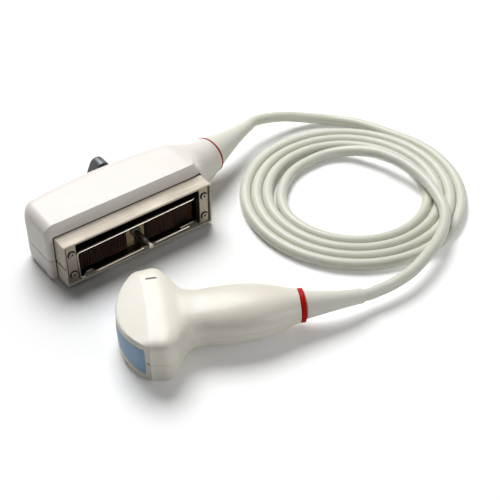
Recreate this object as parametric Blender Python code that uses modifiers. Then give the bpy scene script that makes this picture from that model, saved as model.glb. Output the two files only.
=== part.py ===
"""Convex ultrasound transducer probe: handpiece, coiled cable and system connector.

Metres, +Z up. The origin is the centre of the connector's flat underside, which stands on
the table at z = 0. +X runs along the connector towards its cable, and +Y runs from its plug
face towards its locking knob. The handpiece and the coil lie on the same table in front.
"""

import math

import bmesh
import bpy
import numpy as np
from mathutils import Matrix, Vector

# Clearances
CLEARANCE = 0.0003
SEAM_GAP = 0.0003
RUNNING_CLEARANCE = 0.00008

# Handpiece: where it lies and which way it points
NOSE_PLACE = (-0.0548, -0.0921)
HANDPIECE_YAW = math.radians(-26.3)

# Handpiece shells, measured from the nose towards the cable
LENS_RADIUS = 0.041
LENS_BORDER = 0.0042
NOSE_WIDTH = 0.0625
NOSE_THICKNESS = 0.0230
RIDGE_SETBACK = 0.0162
HEAD_WIDTH = 0.0634
HEAD_THICKNESS = 0.0310
HEAD_SQUARENESS = 9.0
HEAD_STRIP = 0.0125
SHOULDER_LENGTH = 0.0165
NECK_WIDTH = 0.0345
NECK_THICKNESS = 0.0262
BELLY_SETBACK = 0.0685
BELLY_WIDTH = 0.0374
BELLY_THICKNESS = 0.0274
HANDLE_LENGTH = 0.1073
TAIL_DIAMETER = 0.0202
HANDLE_WALL = 0.002

# Array behind the lens
LENS_THICKNESS = 0.0016
MATCHING_THICKNESS = 0.0006
CRYSTAL_THICKNESS = 0.0007
BACKING_THICKNESS = 0.010
ARRAY_MARGIN = 0.0009
FLEX_THICKNESS = 0.0003
FLEX_NECK_WIDTH = 0.021
FLEX_LANDING = 0.010
BOARD_THICKNESS = 0.0016
BOARD_LENGTH = 0.034

# Index mark on the head's top strip
MARK_LENGTH = 0.0066
MARK_WIDTH = 0.0009
MARK_DEPTH = 0.0007
MARK_SIDE = 0.0215

# Handpiece ring and boot
HANDLE_RING_DIAMETER = 0.0206
HANDLE_RING_LENGTH = 0.0036
HANDLE_BOOT_DIAMETER = 0.0172
HANDLE_BOOT_LENGTH = 0.0355
HANDLE_BOOT_BEND = (0.0058, -0.0040)

# Cable
CABLE_DIAMETER = 0.0075
BOOT_TIP_WALL = 0.0007
SPIGOT_DEPTH = 0.0045
CLAMP_LENGTH = 0.005

# Coil: a flat spiral of turns side by side, drawn here as one turned ring
COIL_CENTRE = (0.1459, -0.0668)
COIL_OUTER_RADIUS = 0.0755
COIL_BAND_WIDTH = 0.0246

# Connector housing
HOUSING_END_MARGIN = 0.0045
HOUSING_DEPTH = 0.040
HOUSING_TOP_MARGIN = 0.0082
HOUSING_WALL = 0.0024
BACK_BOW = 0.0045
END_CORNER_FRONT = 0.0025
END_CORNER_BACK = 0.0065
END_CORNER_TOP = 0.0070
END_CORNER_BOTTOM = 0.0035
NECK_START_SETBACK = 0.008
FRONT_CHAMFER_DEPTH = 0.0026
FRONT_CHAMFER_HEIGHT = 0.0075
REAR_TOP_RADIUS = 0.008
REAR_BOTTOM_RADIUS = 0.006
FRONT_BOTTOM_RADIUS = 0.0015
SEAM_HEIGHT = 0.016
NECK_LENGTH = 0.0327
NECK_FROM_BACK = 0.012
NECK_YAW = math.radians(15.0)
NECK_DIAMETER = 0.0258
NECK_HEIGHT = 0.021

# Metal shroud and what it holds
SHROUD_LENGTH = 0.108
SHROUD_BOTTOM = 0.0018
SHROUD_HEIGHT = 0.0315
SHROUD_REACH = 0.012
SHROUD_ROOT = 0.005
SHROUD_WALL = 0.0012
END_PLATE_WIDTH = 0.0066
END_PLATE_THICKNESS = 0.0014
END_PLATE_INSET = 0.0011
SOCKET_DEPTH = 0.010
PLUG_SHELL_MARGIN = 0.0008
PLUG_SHELL_LIFT = 0.0009
PLUG_SHELL_HEIGHT = 0.0214
PLUG_SHELL_WALL = 0.0007
PLUG_SHELL_INSET = 0.0010
PLUG_SHELL_CORNER = 0.0022
LEFT_NOTCH_SETBACK = 0.0075
RIGHT_NOTCH_SETBACK = 0.0046
NOTCH_WIDTH = 0.0055
NOTCH_DEPTH = 0.0030
CONTACT_HEIGHT = 0.0041
CONTACT_SLOTS = 17
SLOT_PITCH = 0.00205
SLOT_WIDTH = 0.0010
SLOT_DEPTH = 0.0015
SLOT_MARGIN = 0.0015
CENTRE_WIDTH = 0.0132
GUIDE_THICKNESS = 0.0022

# Locking shaft, on an axis along Y
SHAFT_HEIGHT = 0.016
SHAFT_RADIUS = 0.0025
STUD_RADIUS = 0.0012
STUD_REACH = 0.0125
TIP_RADIUS = 0.0019
TIP_LENGTH = 0.0036
PIN_RADIUS = 0.0006
PIN_LENGTH = 0.0086
BUSH_RADIUS = 0.0046
BUSH_FLANGE_RADIUS = 0.0065
BUSH_FLANGE_THICKNESS = 0.0017
CLIP_THICKNESS = 0.0008
CLIP_OUTER_RADIUS = 0.0048
CLIP_GROOVE_DEPTH = 0.0006
KNOB_HUB_RADIUS = 0.0090
KNOB_HUB_DEPTH = 0.0075
KNOB_REACH = 0.0280
KNOB_TIP_RADIUS = 0.0058
KNOB_DEPTH = 0.0092
KNOB_LEAN = math.radians(6.0)

# Connector ring and boot
CONNECTOR_RING_LENGTH = 0.0012
CONNECTOR_BOOT_DIAMETER = 0.0242
CONNECTOR_BOOT_LENGTH = 0.0464
CONNECTOR_BOOT_BEND = (0.0030, -0.0026)

# Fasteners
COVER_SCREW_END_SETBACK = 0.011
COVER_SCREW_FRONT_SETBACK = 0.0095
COVER_SCREW_BACK_SETBACK = 0.0095
COVER_SCREW_HEAD_RADIUS = 0.0026
COVER_SCREW_HEAD_HEIGHT = 0.0010
COVER_SCREW_RADIUS = 0.0012
COVER_SCREW_LENGTH = 0.0105
BOSS_RADIUS = 0.0032
PLATE_SCREW_BOTTOM_SETBACK = 0.0076
PLATE_SCREW_TOP_SETBACK = 0.0081
PLATE_SCREW_HEAD_RADIUS = 0.0020
PLATE_SCREW_HEAD_HEIGHT = 0.0008
PLATE_SCREW_RADIUS = 0.0009
PLATE_SCREW_LENGTH = 0.0062

# Facets
HALF_SECTION_STEPS = 14
ROUND_STEPS = 20
SMALL_STEPS = 12

# Places worked out from the sizes above
HEAD_AXIS_HEIGHT = HEAD_THICKNESS / 2
HOUSING_FRONT = -HOUSING_DEPTH / 2
HOUSING_BACK = HOUSING_DEPTH / 2
HOUSING_HALF_LENGTH = SHROUD_LENGTH / 2 + HOUSING_END_MARGIN
HOUSING_STRAIGHT_END = SHROUD_LENGTH / 2 - NECK_START_SETBACK
NECK_END = (HOUSING_STRAIGHT_END + NECK_LENGTH, HOUSING_BACK - NECK_FROM_BACK)
SHROUD_FRONT = HOUSING_FRONT - SHROUD_REACH
SHROUD_BACK = HOUSING_FRONT + SHROUD_ROOT
SHROUD_TOP = SHROUD_BOTTOM + SHROUD_HEIGHT
HOUSING_HEIGHT = SHROUD_TOP + HOUSING_TOP_MARGIN
PLATE_SCREW_HEIGHTS = (SHROUD_BOTTOM + PLATE_SCREW_BOTTOM_SETBACK, SHROUD_TOP - PLATE_SCREW_TOP_SETBACK)
PLATE_FRONT = SHROUD_FRONT + END_PLATE_INSET
PLATE_BACK = PLATE_FRONT + END_PLATE_THICKNESS
SOCKET_FLOOR = SHROUD_FRONT + SOCKET_DEPTH
SOCKET_HALF_LENGTH = SHROUD_LENGTH / 2 - SHROUD_WALL - END_PLATE_WIDTH - 4 * CLEARANCE
PLATE_CENTRE = SOCKET_HALF_LENGTH + CLEARANCE + END_PLATE_WIDTH / 2
PLUG_SHELL_HALF_LENGTH = SOCKET_HALF_LENGTH - PLUG_SHELL_MARGIN
PLUG_SHELL_BOTTOM = SHROUD_BOTTOM + SHROUD_WALL + PLUG_SHELL_LIFT
CABLE_RADIUS = CABLE_DIAMETER / 2
BORE_RADIUS = CABLE_RADIUS + CLEARANCE

FRAME_HANDPIECE = Matrix.Translation((*NOSE_PLACE, HEAD_AXIS_HEIGHT)) @ Matrix.Rotation(HANDPIECE_YAW, 4, "Z")
FRAME_TAIL = FRAME_HANDPIECE @ Matrix.Translation((HANDLE_LENGTH, 0, 0))
FRAME_NECK = Matrix.Translation((*NECK_END, NECK_HEIGHT)) @ Matrix.Rotation(NECK_YAW, 4, "Z")
FRAME_LOCK = Matrix.Translation((0, 0, SHAFT_HEIGHT))

# From the housing to its neck: share of the way, and how far the front and the back have closed in
NECK_SHAPE = (
    (0.0, 0.0, 0.0), (0.11, 0.0, 0.16), (0.20, 0.03, 0.34), (0.26, 0.14, 0.46), (0.31, 0.40, 0.56),
    (0.36, 0.58, 0.65), (0.46, 0.74, 0.78), (0.60, 0.87, 0.90), (0.80, 0.97, 0.98), (1.0, 1.0, 1.0),
)
BASE_FLAT_SHARE = 0.2

# The cable's route, chosen by eye: from the connector's boot to the coil, and from the coil,
# in one long low hump over its turns, to the handpiece's boot
LEAD_ROUTE = (
    (0.1379, 0.0262, 0.0163), (0.1498, 0.0262, 0.0132), (0.1613, 0.0245, 0.0100),
    (0.1713, 0.0210, 0.0071), (0.1812, 0.0159, 0.0050), (0.1899, 0.0092, 0.0039),
    (0.2000, -0.0024, 0.0038), (0.2079, -0.0175, 0.0038),
)
TAIL_ROUTE = (
    (0.1290, -0.0234, 0.0038), (0.1360, -0.0216, 0.0038), (0.1440, -0.0209, 0.0041),
    (0.1532, -0.0216, 0.0048), (0.1621, -0.0245, 0.0058), (0.1694, -0.0297, 0.0074),
    (0.1746, -0.0354, 0.0090), (0.1790, -0.0418, 0.0104), (0.1840, -0.0507, 0.0114),
    (0.1867, -0.0593, 0.0118), (0.1887, -0.0699, 0.0119), (0.1888, -0.0822, 0.0119),
    (0.1873, -0.0936, 0.0120), (0.1840, -0.1050, 0.0120), (0.1751, -0.1232, 0.0120),
    (0.1611, -0.1356, 0.0119),
    (0.1470, -0.1423, 0.0119), (0.1329, -0.1473, 0.0119), (0.1181, -0.1508, 0.0111),
    (0.1030, -0.1524, 0.0104), (0.0910, -0.1524, 0.0104),
)


def clear_scene():
    for obj in list(bpy.data.objects):
        bpy.data.objects.remove(obj, do_unlink=True)


def new_collection(name):
    collection = bpy.data.collections.new(name)
    bpy.context.scene.collection.children.link(collection)
    return collection


def new_material(name, colour, roughness, metallic=0.0):
    material = bpy.data.materials.new(name)
    material.use_nodes = True
    shader = material.node_tree.nodes["Principled BSDF"]
    shader.inputs["Base Color"].default_value = (*colour, 1.0)
    shader.inputs["Roughness"].default_value = roughness
    shader.inputs["Metallic"].default_value = metallic
    material.diffuse_color = (*colour, 1.0)
    return material


clear_scene()
PARTS = new_collection("ultrasound_transducer_probe")
CUTTERS = new_collection("cutters")
SHELL_WHITE = new_material("shell_white", (0.82, 0.80, 0.76), 0.38)
LENS_BLUE = new_material("lens_blue", (0.20, 0.40, 0.62), 0.42)
CABLE_WHITE = new_material("cable_white", (0.74, 0.74, 0.68), 0.45)
BOOT_WHITE = new_material("boot_white", (0.80, 0.79, 0.74), 0.50)
RING_RED = new_material("ring_red", (0.72, 0.02, 0.01), 0.35)
RING_DARK_RED = new_material("ring_dark_red", (0.55, 0.03, 0.01), 0.40)
MARK_GREY = new_material("mark_grey", (0.10, 0.10, 0.10), 0.5)
NICKEL = new_material("nickel", (0.74, 0.68, 0.58), 0.32, 1.0)
STEEL = new_material("steel", (0.62, 0.61, 0.58), 0.30, 1.0)
BRASS = new_material("brass", (0.55, 0.40, 0.16), 0.40, 1.0)
INSULATOR_BLACK = new_material("insulator_black", (0.02, 0.02, 0.022), 0.45)
KNOB_GREY = new_material("knob_grey", (0.13, 0.13, 0.14), 0.45)
CERAMIC = new_material("ceramic", (0.46, 0.40, 0.30), 0.6)
EPOXY = new_material("epoxy", (0.05, 0.05, 0.06), 0.6)
BOARD_GREEN = new_material("board_green", (0.03, 0.17, 0.08), 0.45)
FLEX_AMBER = new_material("flex_amber", (0.45, 0.22, 0.04), 0.40)


def add_object(name, mesh, material=None, frame=None, cutter=False):
    """Puts a mesh in the scene, in the frame that its coordinates are written in."""
    obj = bpy.data.objects.new(name, mesh)
    (CUTTERS if cutter else PARTS).objects.link(obj)
    if frame is not None:
        obj.parent = frame
    if material is not None:
        mesh.materials.append(material)
    if cutter:
        obj.hide_render = True
        obj.display_type = "WIRE"
    return obj


def add_frame(name, matrix):
    empty = bpy.data.objects.new(name, None)
    empty.empty_display_size = 0.01
    empty.matrix_world = matrix
    PARTS.objects.link(empty)
    return empty


def smooth_shading(obj, angle=35.0):
    obj.data.shade_smooth()
    obj.data.set_sharp_from_angle(angle=math.radians(angle))
    return obj


def mesh_from(name, points, faces):
    mesh = bpy.data.meshes.new(name)
    mesh.from_pydata([tuple(point) for point in points], [], faces)
    mesh.update()
    return mesh


def boolean(obj, cutter, operation="DIFFERENCE"):
    modifier = obj.modifiers.new(f"{operation.lower()} {cutter.name}", "BOOLEAN")
    modifier.operation = operation
    modifier.solver = "EXACT"
    modifier.object = cutter
    return modifier


def bevel(obj, width, segments=2, angle=40.0):
    modifier = obj.modifiers.new("rounded edges", "BEVEL")
    modifier.width = width
    modifier.segments = segments
    modifier.limit_method = "ANGLE"
    modifier.angle_limit = math.radians(angle)
    return modifier


def box(name, low, high, material=None, frame=None, cutter=False):
    """A box between two corners."""
    mesh = bpy.data.meshes.new(name)
    shape = bmesh.new()
    bmesh.ops.create_cube(shape, size=1.0)
    low, high = Vector(low), Vector(high)
    for vertex in shape.verts:
        vertex.co = (low + high) / 2 + Vector(a * b for a, b in zip(vertex.co, high - low))
    shape.to_mesh(mesh)
    shape.free()
    return add_object(name, mesh, material, frame, cutter)


def cylinder(name, radius, start, end, steps=SMALL_STEPS, material=None, frame=None, cutter=False):
    """A cylinder between two points on its axis."""
    start, end = Vector(start), Vector(end)
    mesh = bpy.data.meshes.new(name)
    shape = bmesh.new()
    bmesh.ops.create_cone(
        shape, cap_ends=True, segments=steps, radius1=radius, radius2=radius, depth=(end - start).length
    )
    turn = (end - start).to_track_quat("Z", "Y").to_matrix().to_4x4()
    bmesh.ops.transform(shape, matrix=Matrix.Translation((start + end) / 2) @ turn, verts=shape.verts)
    shape.to_mesh(mesh)
    shape.free()
    return add_object(name, mesh, material, frame, cutter)


def turned(name, profile, material, frame, along="X", steps=ROUND_STEPS, closed=True):
    """A profile of (place on the axis, radius) turned about the frame's X or Y axis.

    It runs from the far end back along the outer side. A closed one is a ring with a bore.
    """
    points = [(radius, 0, place) for place, radius in profile]
    edges = [(k, k + 1) for k in range(len(points) - 1)]
    if closed:
        edges.append((len(points) - 1, 0))
    mesh = bpy.data.meshes.new(name)
    mesh.from_pydata(points, edges, [])
    obj = add_object(name, mesh, material, frame)
    screw = obj.modifiers.new("turning", "SCREW")
    screw.axis = "Z"
    screw.steps = steps
    screw.render_steps = steps
    screw.use_merge_vertices = True
    screw.merge_threshold = 0.00001
    screw.use_smooth_shade = True
    obj.rotation_euler = (0, math.pi / 2, 0) if along == "X" else (-math.pi / 2, 0, 0)
    return obj


def tube_faces(rings, count, close_length=False):
    """Quads over rings of points, which run anticlockwise seen from beyond the last ring."""
    faces = []
    for i in range(rings if close_length else rings - 1):
        j = (i + 1) % rings
        for k in range(count):
            n = (k + 1) % count
            faces.append((i * count + k, i * count + n, j * count + n, j * count + k))
    return faces


def flat_outline(name, outline, thickness, material=None, frame=None, cutter=False, holes=()):
    """A flat outline in XY with a thickness along Z, made as a filled curve and then a mesh."""
    curve = bpy.data.curves.new(name, "CURVE")
    curve.dimensions = "2D"
    curve.fill_mode = "BOTH"
    curve.extrude = thickness / 2
    for points in (outline, *holes):
        spline = curve.splines.new("POLY")
        spline.points.add(len(points) - 1)
        for point, (x, y) in zip(spline.points, points):
            point.co = (x, y, 0, 1)
        spline.use_cyclic_u = True
    source = bpy.data.objects.new(name + "_curve", curve)
    CUTTERS.objects.link(source)
    bpy.context.view_layer.update()
    mesh = bpy.data.meshes.new_from_object(source.evaluated_get(bpy.context.evaluated_depsgraph_get()))
    shape = bmesh.new()
    shape.from_mesh(mesh)
    bmesh.ops.remove_doubles(shape, verts=shape.verts, dist=0.00001)
    shape.to_mesh(mesh)
    shape.free()
    mesh.materials.clear()
    bpy.data.objects.remove(source, do_unlink=True)
    return add_object(name, mesh, material, frame, cutter)


def arc_points(centre, radius, start, end, steps):
    angles = np.linspace(math.radians(start), math.radians(end), steps + 1)
    return [(centre[0] + radius * math.cos(a), centre[1] + radius * math.sin(a)) for a in angles]


def smooth_through(places, values, samples):
    """A smooth curve through values at rising places, read at the samples."""
    places, values = np.asarray(places, float), np.asarray(values, float)
    slopes = np.gradient(values, places, axis=0)
    read = []
    for sample in samples:
        k = int(np.clip(np.searchsorted(places, sample) - 1, 0, len(places) - 2))
        span = places[k + 1] - places[k]
        t = (sample - places[k]) / span
        read.append(
            (2 * t**3 - 3 * t**2 + 1) * values[k] + (t**3 - 2 * t**2 + t) * span * slopes[k]
            + (3 * t**2 - 2 * t**3) * values[k + 1] + (t**3 - t**2) * span * slopes[k + 1]
        )
    return np.array(read)


def ease(t):
    return t * t * (3 - 2 * t)


# Handpiece

def handle_stations():
    """Rows of (setback, half width, half thickness, squareness) from the ridge to the tail."""
    shoulder = RIDGE_SETBACK + HEAD_STRIP
    neck = shoulder + SHOULDER_LENGTH
    drop = (HEAD_WIDTH - NECK_WIDTH) / 2
    rows = (
        (RIDGE_SETBACK, HEAD_WIDTH / 2, HEAD_THICKNESS / 2, HEAD_SQUARENESS),
        (shoulder, HEAD_WIDTH / 2 - 0.02 * drop, HEAD_THICKNESS / 2 - 0.0001, 7.5),
        (shoulder + 0.22 * SHOULDER_LENGTH, HEAD_WIDTH / 2 - 0.22 * drop, HEAD_THICKNESS / 2 - 0.0008, 5.4),
        (shoulder + 0.44 * SHOULDER_LENGTH, HEAD_WIDTH / 2 - 0.58 * drop, HEAD_THICKNESS / 2 - 0.0016, 3.9),
        (shoulder + 0.66 * SHOULDER_LENGTH, NECK_WIDTH / 2 + 0.14 * drop, NECK_THICKNESS / 2 + 0.0004, 3.2),
        (neck, NECK_WIDTH / 2, NECK_THICKNESS / 2, 2.9),
        ((neck + BELLY_SETBACK) / 2, (0.45 * NECK_WIDTH + 0.55 * BELLY_WIDTH) / 2, 0.0134, 2.6),
        (BELLY_SETBACK, BELLY_WIDTH / 2, BELLY_THICKNESS / 2, 2.45),
        (BELLY_SETBACK + 0.38 * (HANDLE_LENGTH - BELLY_SETBACK), 0.0176, 0.0132, 2.3),
        (BELLY_SETBACK + 0.70 * (HANDLE_LENGTH - BELLY_SETBACK), 0.0140, 0.0118, 2.15),
        (BELLY_SETBACK + 0.90 * (HANDLE_LENGTH - BELLY_SETBACK), 0.0112, 0.0105, 2.05),
        (HANDLE_LENGTH, TAIL_DIAMETER / 2, TAIL_DIAMETER / 2, 2.0),
    )
    return np.array(rows)


def handle_profile(inset):
    """The stations read along the handle, moved in by a wall square to the plan outline."""
    rows = handle_stations()
    shoulder, neck = rows[1, 0], rows[5, 0]
    samples = np.concatenate([
        [rows[0, 0]], np.linspace(shoulder, neck, 8), np.linspace(neck, HANDLE_LENGTH, 9)[1:],
    ])
    read = smooth_through(rows[:, 0], rows[:, 1:], samples)
    rise = np.gradient(read[:, 0], samples)
    length = np.sqrt(1 + rise**2)
    moved = samples + inset * rise / length
    moved[0] = samples[0]
    moved[-1] = samples[-1]
    width = read[:, 0] - inset / length
    return np.column_stack([moved, width, read[:, 1] - inset, read[:, 2]])


def front_slope():
    """How much the half thickness grows for each metre back from the nose, up to the ridge."""
    return (HEAD_THICKNESS - NOSE_THICKNESS) / 2 / RIDGE_SETBACK


def superellipse_height(side, half_width, half_thickness, squareness):
    share = np.clip(1 - np.abs(side / half_width) ** squareness, 0, 1)
    return half_thickness * share ** (1 / squareness)


def handle_ring(setback, half_width, half_thickness, squareness, bow):
    """One section of the handle. A bow of 1 bends it back along the lens's arc, up the sloping faces."""
    angles = np.linspace(-math.pi / 2, math.pi / 2, HALF_SECTION_STEPS + 1)
    side = half_width * np.sin(angles)
    height = superellipse_height(side, half_width, half_thickness, squareness)
    sagging = bow * (LENS_RADIUS - np.sqrt(LENS_RADIUS**2 - side**2))
    height = height * (1 + front_slope() * sagging / half_thickness)
    upper = np.column_stack([setback + sagging, side, height])[::-1]
    lower = np.column_stack([setback + sagging, side, -height])[1:-1]
    return np.vstack([upper, lower])


def ladder_cap(first, count, flip):
    """Closes a ring whose upper and lower halves mirror each other, rung by rung."""
    half = count // 2
    faces = [(first, first + 1, first + count - 1)]
    for k in range(1, half - 1):
        faces.append((first + k, first + k + 1, first + count - k - 1, first + count - k))
    faces.append((first + half - 1, first + half, first + half + 1))
    return [face[::-1] for face in faces] if flip else faces


def handle_solid(name, frame, inset, front_extra, tail_extra):
    """The handpiece's outer form, or with an inset the hollow inside it."""
    border = LENS_BORDER if inset else 0
    nose = (NOSE_WIDTH / 2 - inset, NOSE_THICKNESS / 2 - border, HEAD_SQUARENESS)
    rings = []
    if front_extra:
        rings.append(handle_ring(-front_extra, *nose, 1.0))
    rings.append(handle_ring(0, *nose, 1.0))
    profile = handle_profile(inset)
    for row in profile:
        rings.append(handle_ring(*row, 0.0))
    if tail_extra:
        rings.append(handle_ring(HANDLE_LENGTH + tail_extra, *profile[-1, 1:], 0.0))
    count = len(rings[0])
    faces = tube_faces(len(rings), count)
    faces += ladder_cap(0, count, flip=True)
    faces += ladder_cap((len(rings) - 1) * count, count, flip=False)
    mesh = mesh_from(name, np.vstack(rings), faces)
    return add_object(name, mesh, None, frame, cutter=True)


def make_handle_shells(frame):
    hollow = handle_solid("handle_hollow", frame, HANDLE_WALL, 0.006, 0.006)
    reach = HEAD_WIDTH
    for name, side in (("handle_shell_upper", 1), ("handle_shell_lower", -1)):
        shell = handle_solid(name, frame, 0, 0, 0)
        CUTTERS.objects.unlink(shell)
        PARTS.objects.link(shell)
        shell.hide_render = False
        shell.display_type = "TEXTURED"
        shell.data.materials.append(SHELL_WHITE)
        boolean(shell, hollow)
        plane = side * SEAM_GAP / 2
        low = (-reach, -reach, plane if side < 0 else -reach)
        high = (HANDLE_LENGTH + reach, reach, reach if side < 0 else plane)
        boolean(shell, box(name + "_other_half", low, high, frame=frame, cutter=True))
        if side > 0:
            boolean(shell, mark_pocket(frame))
        smooth_shading(shell, 28)


def mark_corners(margin, depth, above):
    middle = RIDGE_SETBACK + HEAD_STRIP * 0.5
    top = HEAD_THICKNESS / 2
    low = (middle - MARK_LENGTH / 2 - margin, MARK_SIDE - MARK_WIDTH / 2 - margin, top - depth)
    high = (middle + MARK_LENGTH / 2 + margin, MARK_SIDE + MARK_WIDTH / 2 + margin, top + above)
    return low, high


def mark_pocket(frame):
    low, high = mark_corners(CLEARANCE / 3, MARK_DEPTH + CLEARANCE, 0.002)
    return box("mark_pocket", low, high, frame=frame, cutter=True)


def make_mark(frame):
    low, high = mark_corners(0, MARK_DEPTH, -0.00025)
    box("orientation_mark", low, high, MARK_GREY, frame)


def array_layer(name, material, frame, front, thickness, half_width, half_height, growth=0.0):
    """A curved layer of the array: a strip of the lens's cylinder, thickened towards its axis."""
    angles = np.radians(np.linspace(-80, 80, HALF_SECTION_STEPS + 1))
    side = half_width * np.sin(angles)
    radius = LENS_RADIUS - front
    setback = LENS_RADIUS - np.sqrt(radius**2 - side**2)
    height = superellipse_height(side, half_width, half_height, HEAD_SQUARENESS)
    height = height * (1 + growth * (setback - front) / half_height)
    points = np.vstack([np.column_stack([setback, side, height]), np.column_stack([setback, side, -height])])
    count = len(side)
    faces = [(k, k + 1, k + count + 1, k + count) for k in range(count - 1)]
    layer = add_object(name, mesh_from(name, points, faces), material, frame)
    solidify = layer.modifiers.new("thickness", "SOLIDIFY")
    solidify.thickness = thickness
    solidify.offset = -1
    solidify.use_even_offset = True
    return smooth_shading(layer)


def make_array(frame):
    window_width = NOSE_WIDTH / 2 - HANDLE_WALL - CLEARANCE
    window_height = NOSE_THICKNESS / 2 - LENS_BORDER - CLEARANCE
    front = 0.0
    layers = (
        ("acoustic_lens", LENS_BLUE, LENS_THICKNESS, 0),
        ("matching_layer", BRASS, MATCHING_THICKNESS, ARRAY_MARGIN),
        ("crystal_array", CERAMIC, CRYSTAL_THICKNESS, ARRAY_MARGIN),
        ("backing_block", EPOXY, BACKING_THICKNESS, ARRAY_MARGIN),
    )
    for name, material, thickness, margin in layers:
        width = (window_width - margin) * (LENS_RADIUS - front) / LENS_RADIUS
        growth = 0.0 if margin else front_slope()
        array_layer(name, material, frame, front, thickness, width, window_height - margin, growth)
        front += thickness + CLEARANCE


def board_start():
    return RIDGE_SETBACK + HEAD_STRIP + SHOULDER_LENGTH


def make_flex_circuits(frame):
    """Two flexible sheets that run from the array over and under its block to the board."""
    block_top = NOSE_THICKNESS / 2 - LENS_BORDER - CLEARANCE - ARRAY_MARGIN
    rest = block_top + CLEARANCE
    landing = BOARD_THICKNESS / 2 + CLEARANCE
    start = board_start()
    wide = 0.36 * NOSE_WIDTH
    narrow = FLEX_NECK_WIDTH / 2
    rows = (
        (0.8 * RIDGE_SETBACK, wide, rest), (1.1 * RIDGE_SETBACK, wide, rest),
        (start - 0.7 * SHOULDER_LENGTH, 1.2 * narrow, (rest + landing) / 2),
        (start + 0.1 * FLEX_LANDING, narrow, landing), (start + FLEX_LANDING, narrow, landing),
    )
    for name, side in (("array_flex_upper", 1), ("array_flex_lower", -1)):
        points = [(x, edge * width, side * height) for x, width, height in rows for edge in (-1, 1)]
        faces = [(2 * k, 2 * k + 2, 2 * k + 3, 2 * k + 1) for k in range(len(rows) - 1)]
        if side < 0:
            faces = [face[::-1] for face in faces]
        flex = add_object(name, mesh_from(name, points, faces), FLEX_AMBER, frame)
        solidify = flex.modifiers.new("thickness", "SOLIDIFY")
        solidify.thickness = FLEX_THICKNESS
        solidify.offset = 1


def make_interconnect_board(frame):
    half_width = NECK_WIDTH / 2 - HANDLE_WALL - CLEARANCE
    start = board_start()
    low = (start, -half_width, -BOARD_THICKNESS / 2)
    high = (start + BOARD_LENGTH, half_width, BOARD_THICKNESS / 2)
    box("interconnect_board", low, high, BOARD_GREEN, frame)


def make_handle_clamp(frame):
    """The collar that grips the cable where it enters the handle."""
    middle = HANDLE_LENGTH - SPIGOT_DEPTH - CLEARANCE - CLAMP_LENGTH / 2
    rows = handle_stations()
    inner = smooth_through(rows[:, 0], rows[:, 2], [middle + CLAMP_LENGTH / 2])[0] - HANDLE_WALL
    outer = inner - CLEARANCE
    near, far = middle - CLAMP_LENGTH / 2, middle + CLAMP_LENGTH / 2
    profile = ((far, BORE_RADIUS), (far, outer), (near, outer), (near, BORE_RADIUS))
    turned("handle_cable_clamp", profile, STEEL, frame)


# Rings and boots

def make_ring(name, material, frame, radius, bore, length):
    """A coloured ring, seated on the boot's spigot between the housing and the boot."""
    near, far = CLEARANCE, CLEARANCE + length
    edge = min(0.0003, length / 4)
    profile = (
        (far, bore), (far, radius - edge), (far - edge, radius), (near + edge, radius),
        (near, radius - edge), (near, bore),
    )
    turned(name, profile, material, frame, steps=32)


def boot_centre(along, length, bend):
    """The boot's centreline: straight in its spigot, then bending as the cable pulls it."""
    share = max(along, 0) / length
    return Vector((along, bend[0] * share**2, bend[1] * share**2))


def boot_heading(along, length, bend):
    slope = 2 * max(along, 0) / length**2
    return Vector((1, bend[0] * slope, bend[1] * slope)).normalized()


def make_boot(name, frame, diameter, length, bend, spigot, ring_length):
    """A strain relief lofted along its bent centreline, with a bore for the cable."""
    base = ring_length + 2 * CLEARANCE
    tip = CABLE_RADIUS + BOOT_TIP_WALL
    outer = [(-SPIGOT_DEPTH - base, spigot), (-0.0001, spigot), (0, diameter / 2 - 0.0005), (0.0006, diameter / 2)]
    for share in np.linspace(0.12, 1, 9):
        outer.append((length * float(share), tip + (diameter / 2 - tip) * (1 - float(share)) ** 1.55))
    bore = [(along, BORE_RADIUS) for along in (length, 0.66 * length, 0.33 * length, 0, -SPIGOT_DEPTH - base)]
    rings = []
    for along, radius in outer + bore:
        centre = boot_centre(along, length, bend)
        heading = boot_heading(along, length, bend)
        across = Vector((0, 0, 1)).cross(heading).normalized()
        above = heading.cross(across)
        angles = np.linspace(0, 2 * math.pi, ROUND_STEPS, endpoint=False)
        rings += [centre + radius * (across * math.cos(a) + above * math.sin(a)) for a in angles]
    faces = tube_faces(len(outer) + len(bore), ROUND_STEPS, close_length=True)
    mesh = mesh_from(name, rings, faces)
    boot = add_object(name, mesh, BOOT_WHITE, frame)
    boot.location = (base, 0, 0)
    return smooth_shading(boot, 40)


# Cable

def smooth_route(points, spacing):
    """Points at about the spacing on a smooth curve through the route's own points."""
    points = np.array([tuple(point) for point in points])
    places = np.concatenate([[0], np.cumsum(np.linalg.norm(np.diff(points, axis=0), axis=1))])
    count = max(2, int(round(places[-1] / spacing)))
    return smooth_through(places, points, np.linspace(0, places[-1], count + 1))


def make_cable_run(name, points, spacing):
    curve = bpy.data.curves.new(name, "CURVE")
    curve.dimensions = "3D"
    curve.bevel_depth = CABLE_RADIUS
    curve.bevel_resolution = 3
    curve.use_fill_caps = True
    route = smooth_route(points, spacing)
    spline = curve.splines.new("POLY")
    spline.points.add(len(route) - 1)
    for point, place in zip(spline.points, route):
        point.co = (*place, 1)
    curve.materials.append(CABLE_WHITE)
    run = bpy.data.objects.new(name, curve)
    PARTS.objects.link(run)
    return run


def boot_exit(frame_matrix, length, bend, ring_length):
    """Two points just past a boot's tip, on its centreline: where the cable starts."""
    base = Vector((ring_length + 2 * CLEARANCE, 0, 0))
    heading = boot_heading(length, length, bend)
    tip = base + boot_centre(length, length, bend)
    return [frame_matrix @ (tip + heading * step) for step in (CLEARANCE, CLEARANCE + 0.005)]


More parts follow.
